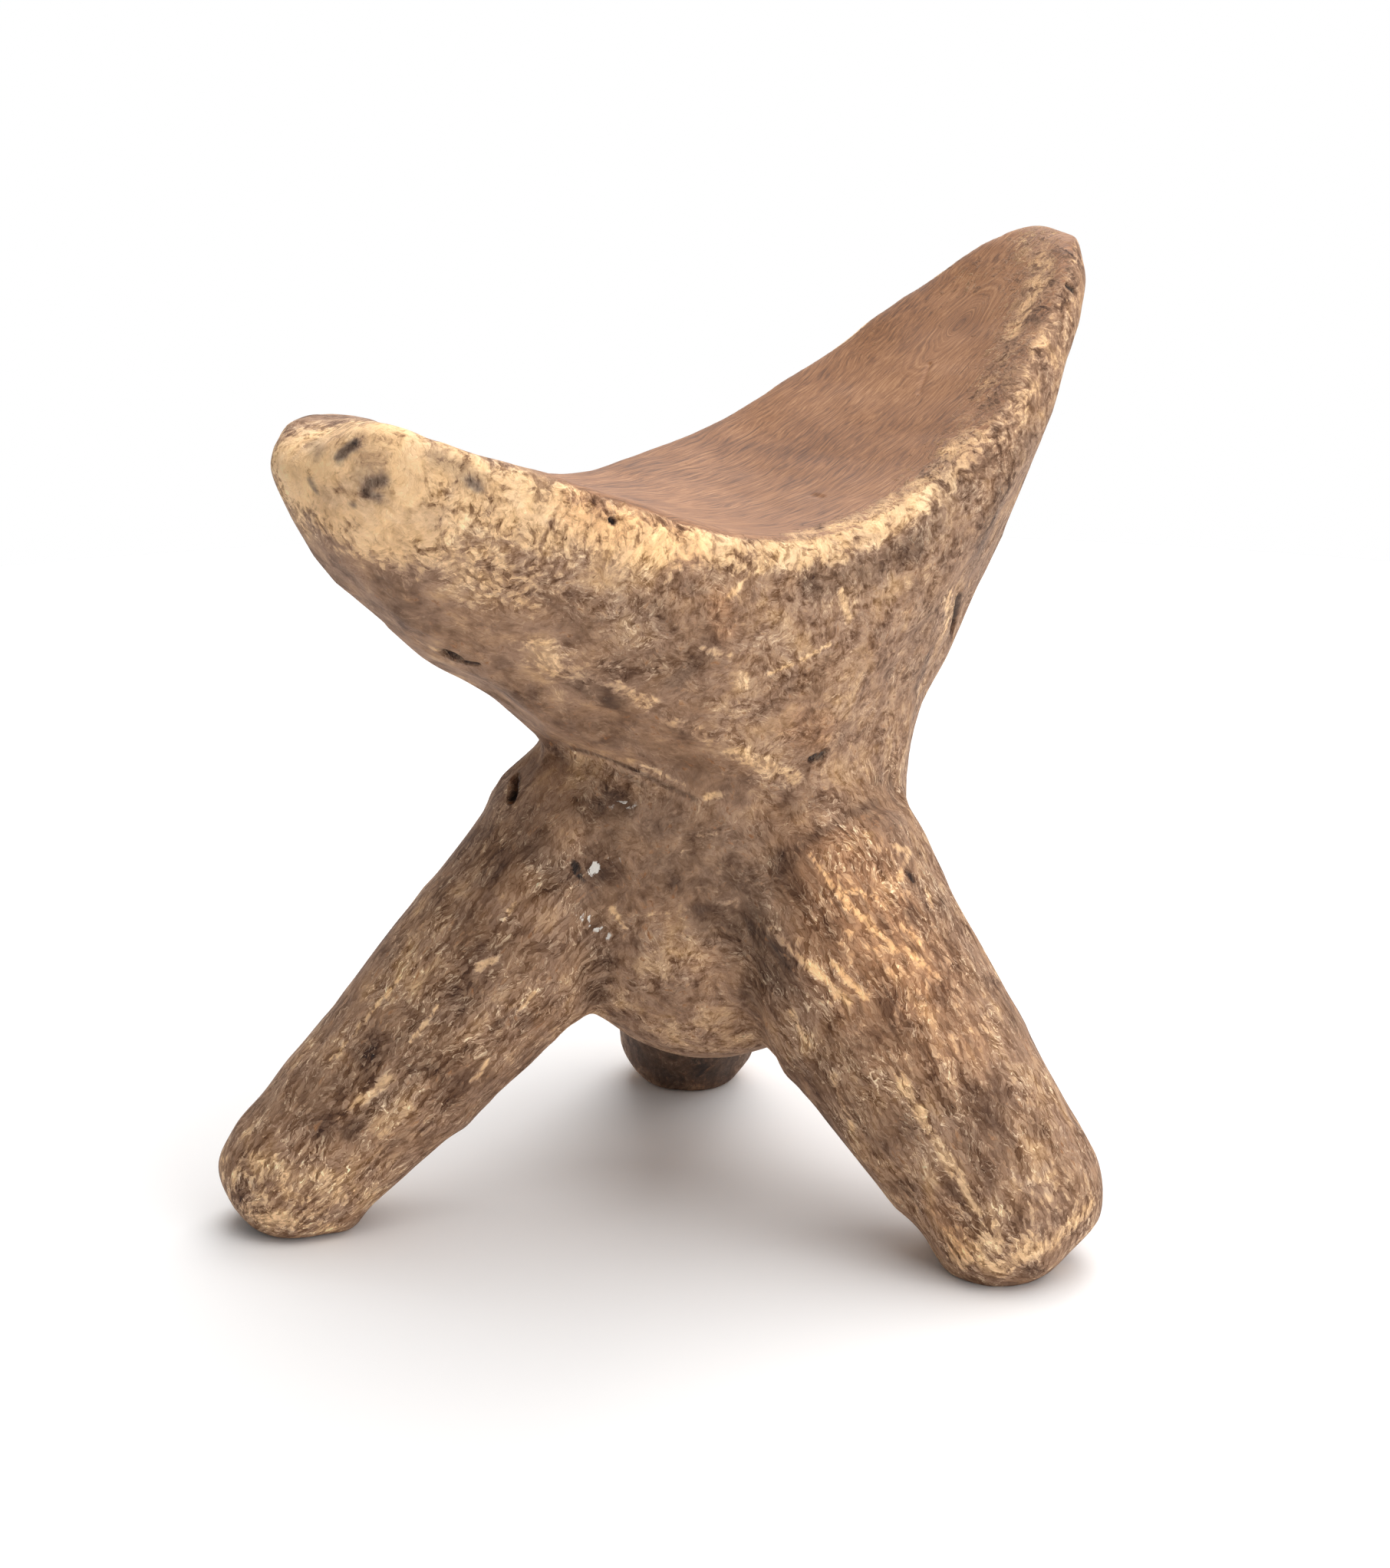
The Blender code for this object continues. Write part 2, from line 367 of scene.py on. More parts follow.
    def distance(self, path: np.ndarray, limit: float) -> np.ndarray:
        """Distance of every point from a path in space.

        Args:
            path: Corners of the path, one row each; a single row is a spot.
            limit: Distance beyond which points are not told apart.

        Returns:
            One distance for each point of the skin, at most the limit.
        """
        inside = (self.co > path.min(axis=0) - limit) & (self.co < path.max(axis=0) + limit)
        near = np.flatnonzero(inside.all(axis=1))
        points = self.co[near]
        nearest = np.linalg.norm(points - path[0], axis=1)
        for start, end in zip(path, path[1:]):
            along = end - start
            share = np.clip((points - start) @ along / max(along @ along, 1e-12), 0.0, 1.0)
            nearest = np.minimum(nearest, np.linalg.norm(points - start - share[:, None] * along, axis=1))
        distances = np.full(len(self.co), limit)
        distances[near] = np.minimum(nearest, limit)
        return distances

    def fill(self, share: np.ndarray) -> None:
        """Raise the hollows of a part towards its hull.

        Args:
            share: How far each point is raised, from 0 outside the part to 1.
        """
        part = np.flatnonzero(share > 0.0)
        bm = bmesh.new()
        for point in self.co[part]:
            bm.verts.new(point)
        hull = bmesh.ops.convex_hull(bm, input=bm.verts)
        bmesh.ops.delete(bm, geom=hull["geom_interior"], context="VERTS")
        lid = BVHTree.FromBMesh(bm)
        bm.free()
        up = Vector((0.0, 0.0, 1.0))
        rises = [lid.ray_cast(Vector(point), up)[3] or 0.0 for point in self.co[part].astype(float)]
        self.co[part, 2] += (share[part] * np.array(rises)).astype(np.float32)
        self.read_normals()

    def roughen(self, scale: float, height: float) -> None:
        """Raise and lower the skin by noise.

        Args:
            scale: Bumps per metre.
            height: Largest rise or fall.
        """
        bumps = [noise.noise(Vector(point) * scale) for point in self.co.astype(float)]
        self.push(np.array(bumps) * height)

    def adze(self, tool: Adze, grain: np.ndarray, share: np.ndarray) -> None:
        """Cut flat facets into the skin.

        Args:
            tool: The adze.
            grain: Direction of the fibres at each point.
            share: How strongly each point was cut, from 0 to 1.
        """
        draw = np.random.default_rng(self.seed)
        sunk = np.zeros(len(self.co))
        flats = self.blur(self.normals, tool.flat_passes)
        flats /= np.linalg.norm(flats, axis=1)[:, None]
        for pick in draw.integers(0, len(self.co), tool.strokes):
            near = np.flatnonzero(np.abs(self.co[:, 0] - self.co[pick, 0]) < tool.half_length)
            offset = self.co[near] - self.co[pick]
            along = offset @ grain[pick]
            aside = np.linalg.norm(offset - along[:, None] * grain[pick], axis=1)
            reach = np.hypot(along / tool.half_length, aside / tool.half_width)
            cut = (reach < 1.0) & (self.normals[near] @ flats[pick] > tool.facing)
            above = offset[cut] @ flats[pick] + tool.depth * draw.uniform(*tool.bite)
            depths = np.clip(above, 0.0, tool.deepest * tool.depth) * ease(1.0, tool.fade, reach[cut])
            sunk[near[cut]] = np.maximum(sunk[near[cut]], depths)
        self.push(-self.blur(sunk * share, 1))

    def sit(self) -> None:
        """Keep the feet flat on the floor."""
        self.co[:, 2] = np.maximum(self.co[:, 2], 0.0)
        self.read_normals()

    def store(self, name: str, kind: str, values: np.ndarray) -> None:
        """Write one value per point into a named attribute of the mesh.

        Args:
            name: Attribute name.
            kind: FLOAT or FLOAT_VECTOR.
            values: One number or one vector for each point.
        """
        layer = self.mesh.attributes.new(name, kind, "POINT")
        field = "value" if kind == "FLOAT" else "vector"
        layer.data.foreach_set(field, np.ascontiguousarray(values, np.float32).ravel())


@dataclass(frozen=True)
class Parting:
    """A parting face of the carving: a point on it and the direction that leaves the piece."""

    point: Triple
    outward: Triple


class NodeSheet:
    """Places shader nodes in a tree and links their sockets."""

    deepest: Triple = (0.04, 0.03, 0.02)
    palest: Triple = (0.97, 0.97, 0.97)
    eye: float = 2.2

    def __init__(self, tree: bpy.types.NodeTree) -> None:
        """Start on an existing tree."""
        self.tree = tree

    def feed(self, target: Socket, value: Feed) -> None:
        """Link an input to the output socket that feeds it, or set its value.

        Args:
            target: The input.
            value: An output socket or a plain value.
        """
        if isinstance(value, Socket):
            self.tree.links.new(value, target)
        else:
            target.default_value = value

    def add(self, kind: str, sockets: dict[str | int, Feed] | None = None,
            **settings: object) -> bpy.types.Node:
        """Place a node.

        Args:
            kind: Node type, without the ShaderNode prefix.
            sockets: Input name or number to a value or to the output socket that feeds it.
            settings: Properties of the node.

        Returns:
            The new node.
        """
        node = self.tree.nodes.new("ShaderNode" + kind)
        for key, value in settings.items():
            setattr(node, key, value)
        for key, value in (sockets or {}).items():
            self.feed(node.inputs[key], value)
        return node

    def math(self, operation: str, first: Feed, second: Feed = 0.0) -> Socket:
        """Output of a Math node on two numbers or sockets."""
        return self.add("Math", {0: first, 1: second}, operation=operation).outputs[0]

    def span(self, value: Feed, low: float, high: float, start: float = 0.0, end: float = 1.0) -> Socket:
        """Smooth step of a value from start at low to end at high."""
        sockets = {"Value": value, "From Min": low, "From Max": high, "To Min": start, "To Max": end}
        return self.add("MapRange", sockets, interpolation_type="SMOOTHSTEP").outputs[0]

    def blend(self, share: Feed, first: Feed, second: Feed, kind: str = "MIX") -> Socket:
        """Mix two colours.

        Args:
            share: Share of the second colour.
            first: Colour or socket.
            second: Colour or socket.
            kind: Blend type of the Mix node.

        Returns:
            The mixed colour.
        """
        node = self.add("Mix", {0: share}, data_type="RGBA", blend_type=kind)
        for key, colour in ((6, first), (7, second)):
            self.feed(node.inputs[key], colour if isinstance(colour, Socket) else (*colour, 1.0))
        return node.outputs[2]

    def vector(self, operation: str, first: Feed, second: Feed = (0.0, 0.0, 0.0)) -> Socket:
        """Output of a Vector Math node on two vectors or sockets."""
        node = self.add("VectorMath", {0: first, 1: second}, operation=operation)
        return node.outputs["Value" if operation in ("DOT_PRODUCT", "LENGTH") else "Vector"]

    def total(self, start: Feed, terms: tuple[tuple[Socket, float], ...]) -> Socket:
        """Add weighted sockets to a number.

        Args:
            start: The number or its socket.
            terms: Sockets with their weights.

        Returns:
            The sum.
        """
        value = start
        for socket, weight in terms:
            value = self.add("Math", {0: socket, 1: weight, 2: value}, operation="MULTIPLY_ADD").outputs[0]
        return value

    def lift(self, colour: Socket, amount: Socket, lighter: Colour, darker: Colour) -> Socket:
        """Make a colour lighter or darker by an even step, as the eye sees it.

        Args:
            colour: The colour.
            amount: Size of the step; below 0 it is a step down.
            lighter: Tint of a step up.
            darker: Tint of a step down.

        Returns:
            The new colour.
        """
        rise = self.vector("MULTIPLY", self.math("MAXIMUM", amount, 0.0), lighter)
        fall = self.vector("MULTIPLY", self.math("MINIMUM", amount, 0.0), darker)
        seen = self.add("Gamma", {0: colour, 1: 1.0 / self.eye}).outputs[0]
        seen = self.vector("ADD", seen, self.vector("ADD", rise, fall))
        seen = self.vector("MINIMUM", self.vector("MAXIMUM", seen, self.deepest), self.palest)
        return self.add("Gamma", {0: seen, 1: self.eye}).outputs[0]

    def attribute(self, name: str) -> bpy.types.Node:
        """Node that reads an attribute of the mesh."""
        return self.add("Attribute", attribute_name=name)

    def noise(self, place: Socket, scale: Feed, detail: float, rough: float, wander: float = 0.0) -> Socket:
        """Factor of a noise texture."""
        sockets = {"Vector": place, "Scale": scale, "Detail": detail, "Roughness": rough,
                   "Distortion": wander}
        return self.add("TexNoise", sockets).outputs[0]


def node_group(name: str, inputs: dict[str, str], outputs: tuple[str, ...]
               ) -> tuple[bpy.types.NodeTree, NodeSheet, bpy.types.Node, bpy.types.Node]:
    """Start a shader node group.

    Args:
        name: Group name.
        inputs: Input names with their socket types.
        outputs: Names of the number outputs.

    Returns:
        The group, a node sheet on it, its input node and its output node.
    """
    group = bpy.data.node_groups.new(name, "ShaderNodeTree")
    for key, kind in inputs.items():
        group.interface.new_socket(key, in_out="INPUT", socket_type="NodeSocket" + kind)
    for key in outputs:
        group.interface.new_socket(key, in_out="OUTPUT", socket_type="NodeSocketFloat")
    sheet = NodeSheet(group)
    return group, sheet, group.nodes.new("NodeGroupInput"), group.nodes.new("NodeGroupOutput")


@dataclass(frozen=True)
class FrayedWood:
    """Group that draws frayed wood: tufts of fibres, curly flecks and thin pale strands.

    Scales are shares of the group's own Scale input.
    """

    drift_scale: float = 0.6
    drift: float = 3.2 * MM
    tuft_scale: float = 0.28
    sway_scale: float = 0.9
    sway: float = 1.1 * MM
    stretch: float = 0.24
    layer: float = 0.2
    chip_scale: float = 1.7
    gap_width: Range = (0.02, 0.10)
    curl_scale: float = 0.45
    vein_scale: float = 0.7
    vein_width: float = 0.03
    vein_chance: Range = (0.35, 0.6)

    def threads(self, sheet: NodeSheet, start: bpy.types.Node) -> tuple[Socket, Socket]:
        """Lay threads in tufts, each of which is turned its own way.

        Args:
            sheet: Sheet of the group.
            start: Input node of the group.

        Returns:
            Coordinates along and across the threads, and a random number for each tuft.
        """
        place, scale = start.outputs["Place"], start.outputs["Scale"]
        drift_scale = sheet.math("MULTIPLY", scale, self.drift_scale)
        drift = sheet.add("TexNoise", {"Vector": place, "Scale": drift_scale, "Detail": 2.0}).outputs["Color"]
        drift = sheet.vector("SUBTRACT", drift, (0.5, 0.5, 0.5))
        drift = sheet.add("VectorMath", {0: drift, "Scale": self.drift}, operation="SCALE").outputs["Vector"]
        tuft = sheet.add("TexVoronoi", {"Vector": sheet.vector("ADD", place, drift),
                                        "Scale": sheet.math("MULTIPLY", scale, self.tuft_scale)})
        chance = sheet.add("SeparateColor", {0: tuft.outputs["Color"]}).outputs
        normal = sheet.add("NewGeometry").outputs["Normal"]
        side = sheet.vector("NORMALIZE", sheet.vector("CROSS_PRODUCT", normal, start.outputs["Along"]))
        ahead = sheet.vector("CROSS_PRODUCT", side, normal)
        local = sheet.vector("SUBTRACT", place, tuft.outputs["Position"])
        forth, across = sheet.vector("DOT_PRODUCT", local, ahead), sheet.vector("DOT_PRODUCT", local, side)
        turn = sheet.math("MULTIPLY", sheet.math("SUBTRACT", chance[0], 0.5), start.outputs["Stray"])
        turn = sheet.math("MULTIPLY", turn, 2.0 * math.pi)
        cosine, sine = sheet.math("COSINE", turn), sheet.math("SINE", turn)
        length = sheet.math("ADD", sheet.math("MULTIPLY", forth, cosine),
                            sheet.math("MULTIPLY", across, sine))
        width = sheet.math("SUBTRACT", sheet.math("MULTIPLY", across, cosine),
                           sheet.math("MULTIPLY", forth, sine))
        sway = sheet.noise(place, sheet.math("MULTIPLY", scale, self.sway_scale), 2.0, 0.5)
        width = sheet.total(width, ((sway, self.sway),))
        thread = sheet.add("CombineXYZ", {"X": sheet.math("MULTIPLY", length, self.stretch), "Y": width,
                                          "Z": sheet.math("MULTIPLY", chance[1], self.layer)}).outputs[0]
        return thread, chance[2]

    def build(self) -> bpy.types.NodeTree:
        """Make the group.

        Returns:
            The node group.
        """
        inputs = {"Place": "Vector", "Grain": "Vector", "Along": "Vector", "Stray": "Float", "Scale": "Float"}
        group, sheet, start, end = node_group("frayed_wood", inputs, ("Chip", "Gap", "Curl", "Strand"))
        scale = start.outputs["Scale"]
        thread, chance = self.threads(sheet, start)
        cells = {"Vector": thread, "Scale": sheet.math("MULTIPLY", scale, self.chip_scale)}
        chip = sheet.add("TexVoronoi", cells, voronoi_dimensions="2D").outputs["Color"]
        edge = sheet.add("TexVoronoi", cells, voronoi_dimensions="2D",
                         feature="DISTANCE_TO_EDGE").outputs["Distance"]
        curl_scale = sheet.math("MULTIPLY", scale, self.curl_scale)
        vein = sheet.noise(thread, sheet.math("MULTIPLY", scale, self.vein_scale), 1.0, 0.5, 1.4)
        vein = sheet.math("ABSOLUTE", sheet.math("SUBTRACT", vein, 0.5))
        strand = sheet.span(vein, 0.0, self.vein_width, 1.0, 0.0)
        drawn = {
            "Chip": sheet.add("SeparateColor", {0: chip}).outputs[0],
            "Gap": sheet.span(edge, *self.gap_width, 1.0, 0.0),
            "Curl": sheet.noise(start.outputs["Grain"], curl_scale, 4.0, 0.70, 0.6),
            "Strand": sheet.math("MULTIPLY", strand, sheet.span(chance, *self.vein_chance)),
        }
        for key, socket in drawn.items():
            sheet.feed(end.inputs[key], socket)
        return group


@dataclass(frozen=True)
class SeatLines:
    """Group that draws the hairlines of the polished seat: along it, and in rings round its knot."""

    warp_scale: float = 60.0
    warp: Triple = (0.0, 8.0 * MM, 8.0 * MM)
    stretch: Triple = (0.07, 1.0, 0.22)
    hair_scale: float = 2000.0
    ring_shape: Triple = (0.5, 1.0, 0.5)
    ring_scale: float = 1700.0
    ring_reach: Range = (2.0 * MM, 11.0 * MM)
    ring_share: float = 0.7
    sway_scale: float = 90.0
    sway: float = 5.0 * MM
    shade_scale: float = 55.0

    def build(self) -> bpy.types.NodeTree:
        """Make the group.

        Returns:
            The node group.
        """
        inputs = {"Place": "Vector", "Knot": "Vector"}
        group, sheet, start, end = node_group("seat_lines", inputs, ("Line", "Shade"))
        place = start.outputs["Place"]
        warp = sheet.add("TexNoise", {"Vector": place, "Scale": self.warp_scale, "Detail": 2.0})
        warp = sheet.vector("SUBTRACT", warp.outputs["Color"], (0.5, 0.5, 0.5))
        warp = sheet.vector("MULTIPLY", warp, self.warp)
        drawn = sheet.vector("MULTIPLY", sheet.vector("ADD", place, warp), self.stretch)
        hair = sheet.noise(drawn, self.hair_scale, 3.0, 0.72)
        offset = sheet.vector("SUBTRACT", place, start.outputs["Knot"])
        reach = sheet.vector("LENGTH", sheet.vector("MULTIPLY", offset, self.ring_shape))
        ring = sheet.total(reach, ((sheet.noise(place, self.sway_scale, 2.0, 0.5), self.sway),))
        rings = sheet.add("TexNoise", {"W": sheet.math("MULTIPLY", ring, self.ring_scale), "Scale": 1.0,
                                       "Detail": 3.0, "Roughness": 0.65}, noise_dimensions="1D").outputs[0]
        near = sheet.span(reach, *self.ring_reach, self.ring_share, 0.0)
        line = sheet.math("ADD", hair, sheet.math("MULTIPLY", near, sheet.math("SUBTRACT", rings, hair)))
        sheet.feed(end.inputs["Line"], line)
        sheet.feed(end.inputs["Shade"], sheet.noise(place, self.shade_scale, 5.0, 0.62, 0.4))
        return group


@dataclass(frozen=True)
class WoodSockets:
    """What the wood's material reads: places, masks, streaks and the fibre group's drawing."""

    place: Socket
    stray: Socket
    streak: Socket
    mask: dict[StainAndShade, Socket]
    chip: Socket
    gap: Socket
    curl: Socket
    strand: Socket


@dataclass(frozen=True)
class WoodFinish:
    """Colours and gloss of the old wood, from its darkest gaps to its bare fibres, with painted shade and
    painted highlights.
    """

    tones: Tones = (
        (0.00, (0.046, 0.029, 0.022)),
        (0.25, (0.138, 0.080, 0.049)),
        (0.50, (0.330, 0.215, 0.140)),
        (0.74, (0.570, 0.394, 0.232)),
        (1.00, (0.860, 0.620, 0.360)),
    )
    seat_tones: Tones = (
        (0.10, (0.090, 0.034, 0.014)),
        (0.50, (0.285, 0.126, 0.052)),
        (0.90, (0.500, 0.266, 0.130)),
    )
    yellow: Colour = (1.09, 0.975, 0.88)
    pink: Colour = (1.04, 0.955, 0.93)
    gold: Colour = (0.96, 1.00, 0.88)
    umber: Colour = (1.05, 1.00, 0.97)
    orange: Colour = (1.34, 1.05, 0.82)
    # Grey of soot and dark stains, and of the painted shade
    smoke_and_shade: Colour = (0.72, 0.74, 0.78)
    smoke_and_shade_share: float = 0.45
    # Pale colour of the painted highlights on the glossy spots
    glint: Colour = (0.70, 0.66, 0.60)
    glint_gloss: float = 0.4
    dull: float = 0.70
    polished: float = 0.55
    shine: float = 0.28
    fibre_scale: float = 1000.0
    streak_scale: float = 230.0
    mottle_scale: float = 240.0
    blotch_scale: float = 90.0
    tint_scale: float = 120.0
    patch_scale: float = 95.0
    relief: float = 0.30 * MM
    relief_strength: float = 0.45
    polish_relief: float = 0.12

    @staticmethod
    def ramp(sheet: NodeSheet, value: Socket, tones: Tones) -> Socket:
        """Turn a tone between dark and pale into a colour.

        Args:
            sheet: Sheet of the material.
            value: The tone.
            tones: Colours at some tones.

        Returns:
            The colour.
        """
        node = sheet.add("ValToRGB", {0: value})
        steps = node.color_ramp.elements
        while len(steps) < len(tones):
            steps.new(0.5)
        for step, (position, colour) in zip(steps, tones):
            step.position = position
            step.color = (*colour, 1.0)
        return node.outputs[0]

    def read(self, sheet: NodeSheet, fibres: bpy.types.NodeTree) -> WoodSockets:
        """Read the piece's places and masks and draw the fibres on them.

        Args:
            sheet: Sheet of the material.
            fibres: The fibre group.

        Returns:
            The sockets.
        """
        place = sheet.add("TexCoord").outputs["Object"]
        grain, along = (sheet.attribute(name).outputs["Vector"] for name in ("grain", "along"))
        stray = sheet.attribute("stray").outputs["Fac"]
        mask = {stain_and_shade: sheet.attribute(stain_and_shade.value).outputs["Fac"] for stain_and_shade in StainAndShade}
        drawn = sheet.add("Group", {"Place": place, "Grain": grain, "Along": along, "Stray": stray,
                                    "Scale": self.fibre_scale}, node_tree=fibres).outputs
        streak = sheet.noise(grain, self.streak_scale, 3.0, 0.6, 0.5)
        return WoodSockets(place, stray, streak, mask,
                           drawn["Chip"], drawn["Gap"], drawn["Curl"], drawn["Strand"])

    def patina_and_shade(self, sheet: NodeSheet, wood: WoodSockets) -> Socket:
        """Colour the frayed wood, with painted shade in its hollows, holes and creases.

        Args:
            sheet: Sheet of the material.
            wood: Sockets of the material.

        Returns:
            The colour.
        """
        place, mask = wood.place, wood.mask
        mottle = sheet.noise(place, self.mottle_scale, 3.0, 0.6, 0.6)
        bared = sheet.total(-1.55, (
            (mask[StainAndShade.WORN], 1.0), (wood.curl, 1.2), (wood.chip, 0.4), (mottle, 1.5)))
        worn = sheet.span(bared, 0.12, 0.95)
        # The DARK mask darkens dark stains and painted shade; the HOLLOW mask is painted shade in hollows and
        # pits.
        tone = sheet.total(-0.240, (
            (sheet.noise(place, self.blotch_scale, 5.0, 0.64, 0.5), 1.00), (wood.streak, 0.50),
            (worn, 0.44), (mask[StainAndShade.EDGE], 0.14), (mask[StainAndShade.DARK], -0.22), (mask[StainAndShade.HOLLOW], -0.24),
            (sheet.span(wood.stray, 0.20, 0.45, 1.0, 0.25), -0.065)))
        patches = sheet.span(sheet.noise(place, self.tint_scale, 3.0, 0.6, 0.8), 0.40, 0.60)
        tint = sheet.blend(patches, self.yellow, self.pink)
        warm = sheet.math("MULTIPLY", mask[StainAndShade.RED], sheet.span(wood.curl, 0.36, 0.60, 0.3, 1.0))
        tint = sheet.blend(warm, tint, self.orange)
        # Grey tint where the DARK mask lies: soot, dark stains and painted shade
        tint = sheet.blend(sheet.math("MULTIPLY", mask[StainAndShade.DARK], self.smoke_and_shade_share), tint, self.smoke_and_shade)
        colour = sheet.blend(1.0, self.ramp(sheet, tone, self.tones), tint, "MULTIPLY")
        return sheet.lift(colour, self.fray(sheet, wood, worn), self.gold, self.umber)

    def fray(self, sheet: NodeSheet, wood: WoodSockets, worn: Socket) -> Socket:
        """Find how much lighter or darker each fibre is than the wood round it.

        Args:
            sheet: Sheet of the material.
            wood: Sockets of the material.
            worn: Share of bare wood.

        Returns:
            The step, below 0 where a fibre is darker.
        """
        combed = sheet.total(-0.13, ((wood.chip, 0.24), (wood.gap, -0.08), (wood.strand, 0.28)))
        combed = sheet.math("MULTIPLY", combed, sheet.span(wood.stray, 0.2, 0.5, 0.85, 0.45))
        curled = sheet.math("SUBTRACT", wood.curl, 0.5)
        curled = sheet.math("MULTIPLY", curled, sheet.span(wood.stray, 0.2, 0.5, 0.58, 0.80))
        fray = sheet.math("ADD", curled, combed)
        patches = sheet.noise(wood.place, self.patch_scale, 2.0, 0.5, 0.4)
        for share in (sheet.span(patches, 0.36, 0.60, 0.75, 1.45),
                      sheet.span(wood.mask[StainAndShade.RUBBED], 0.0, 1.0, 1.0, 0.28),
                      sheet.span(worn, 0.2, 1.0, 1.0, 0.42)):
            fray = sheet.math("MULTIPLY", fray, share)
        return fray

    def polish(self, sheet: NodeSheet, wood: WoodSockets, lines: bpy.types.NodeTree, knot: Vector) -> Socket:
        """Colour the polished seat.

        Args:
            sheet: Sheet of the material.
            wood: Sockets of the material.
            lines: The group of the seat's lines.
            knot: Place of the knot in the seat.

        Returns:
            The colour.
        """
        drawn = sheet.add("Group", {"Place": wood.place, "Knot": knot}, node_tree=lines).outputs
        tone = sheet.total(-0.62, (
            (drawn["Line"], 1.50), (drawn["Shade"], 0.62), (wood.mask[StainAndShade.DARK], -0.18)))
        return self.ramp(sheet, tone, self.seat_tones)

    def build(self, name: str, fibres: bpy.types.NodeTree, lines: bpy.types.NodeTree,
              knot: Vector) -> bpy.types.Material:
        """Make the wood's material.

        Args:
            name: Name of the material.
            fibres: The fibre group.
            lines: The group of the seat's lines.
            knot: Place of the knot in the seat.

        Returns:
            The material.
        """
        material = bpy.data.materials.new(name)
        material.use_nodes = True
        shader = material.node_tree.nodes["Principled BSDF"]
        sheet = NodeSheet(material.node_tree)
        wood = self.read(sheet, fibres)
        chip, curl, mask = wood.chip, wood.curl, wood.mask
        kept = sheet.total(-1.15, (
            (mask[StainAndShade.POLISH], 1.0), (mask[StainAndShade.WORN], -1.3), (curl, 1.9), (chip, 0.5)))
        smooth = sheet.span(kept, 0.15, 0.60)
        # Glossy spots: lower roughness, and a pale painted highlight broken into flecks
        glint_flecks = sheet.total(-1.6, ((mask[StainAndShade.GLINT], 1.0), (curl, 2.2), (chip, 1.0)))
        spot = sheet.math("MULTIPLY", sheet.span(glint_flecks, 0.45, 0.65), sheet.span(mask[StainAndShade.GLINT], 0.1, 0.4))

        colour = sheet.blend(smooth, self.patina_and_shade(sheet, wood), self.polish(sheet, wood, lines, knot))
        sheet.feed(shader.inputs["Base Color"], sheet.blend(spot, colour, self.glint))
        rough = sheet.total(self.dull, ((smooth, self.polished - self.dull), (spot, -self.glint_gloss)))
        sheet.feed(shader.inputs["Roughness"], rough)
        shader.inputs["Specular IOR Level"].default_value = self.shine
        height = sheet.total(0.0, ((chip, 0.2), (wood.gap, -0.35), (curl, 1.2), (wood.strand, 0.3),
                                   (wood.streak, 0.8)))
        height = sheet.math("MULTIPLY", height, sheet.span(smooth, 0.0, 1.0, 1.0, self.polish_relief))
        bump = sheet.add("Bump", {"Strength": self.relief_strength, "Distance": self.relief,
                                  "Height": height})
        sheet.feed(shader.inputs["Normal"], bump.outputs[0])
        return material


@dataclass
class Piece:
    """One part of the stool, cut from the skin to stand for a solid of the frame."""

    node: str
    slot: str

    def partings(self) -> tuple[Parting, ...]:
        """Parting faces that bound the piece."""
        raise NotImplementedError

    def cut(self, skin: CarvedSkin) -> bpy.types.Object:
        """Cut the piece from the skin.

        Args:
            skin: The finished skin.

        Returns:
            The piece's object, with normals carried over from the skin.
        """
        bm = bmesh.new()
        bm.from_mesh(skin.mesh)
        caps = bm.faces.layers.int.new("cap")
        for parting in self.partings():
            whole = bm.verts[:] + bm.edges[:] + bm.faces[:]
            sawn = bmesh.ops.bisect_plane(bm, geom=whole, dist=1e-7, plane_co=parting.point,
                                          plane_no=parting.outward, clear_outer=True)
            rim = [item for item in sawn["geom_cut"] if isinstance(item, bmesh.types.BMEdge)]
            for face in bmesh.ops.edgeloop_fill(bm, edges=rim)["faces"]:
                face[caps] = 1
        bmesh.ops.triangulate(bm, faces=[face for face in bm.faces if face[caps]])
        bmesh.ops.recalc_face_normals(bm, faces=bm.faces)
        mesh = bpy.data.meshes.new(self.node + "_carved")
        bm.to_mesh(mesh)
        bm.free()
        self.carry_normals(mesh)
        item = bpy.data.objects.new(self.node + "_carved", mesh)
        bpy.context.scene.collection.objects.link(item)
        return item

    @staticmethod
    def carry_normals(mesh: bpy.types.Mesh) -> None:
        """Give the skin's corners the normals that they had before the cut.

        Args:
            mesh: The piece's mesh, with its caps and the skin's normals as attributes.
        """
        mesh.shade_smooth()
        normals = np.empty((len(mesh.vertices), 3), np.float32)
        mesh.attributes["skin_normal"].data.foreach_get("vector", normals.ravel())
        normals /= np.maximum(np.linalg.norm(normals, axis=1), 1e-9)[:, None]
        corner_vertex = np.empty(len(mesh.loops), np.int32)
        mesh.loops.foreach_get("vertex_index", corner_vertex)
        corners = normals[corner_vertex]
        caps = np.empty(len(mesh.polygons), np.int32)
        mesh.attributes["cap"].data.foreach_get("value", caps)
        for index in np.flatnonzero(caps):
            face = mesh.polygons[int(index)]
            corners[face.loop_start:face.loop_start + face.loop_total] = face.normal
        mesh.normals_split_custom_set(corners.tolist())
        mesh.attributes.remove(mesh.attributes["skin_normal"])
        mesh.attributes.remove(mesh.attributes["cap"])

    def dress(self, item: bpy.types.Object, material: bpy.types.Material) -> None:
        """Give the piece its material and its place in the frame.

        Args:
            item: The piece's object.
            material: Its wood.
        """
        item.data.materials.append(material)
        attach(item, BODY)
        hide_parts(self.node)
        LOG.info("%s: %d faces", item.name, len(item.data.polygons))


MIDDLE = Vector((0.0009, 0.0122, 0.0))
SHOULDER_HEIGHT = 0.090
SHOULDER_TILT = math.radians(10.0)
SHOULDER_REACH = 0.031
SHOULDER = Vector((0.0, -math.sin(SHOULDER_TILT), math.cos(SHOULDER_TILT)))
CREASE = MIDDLE + Vector((0.0, 0.0, SHOULDER_HEIGHT))


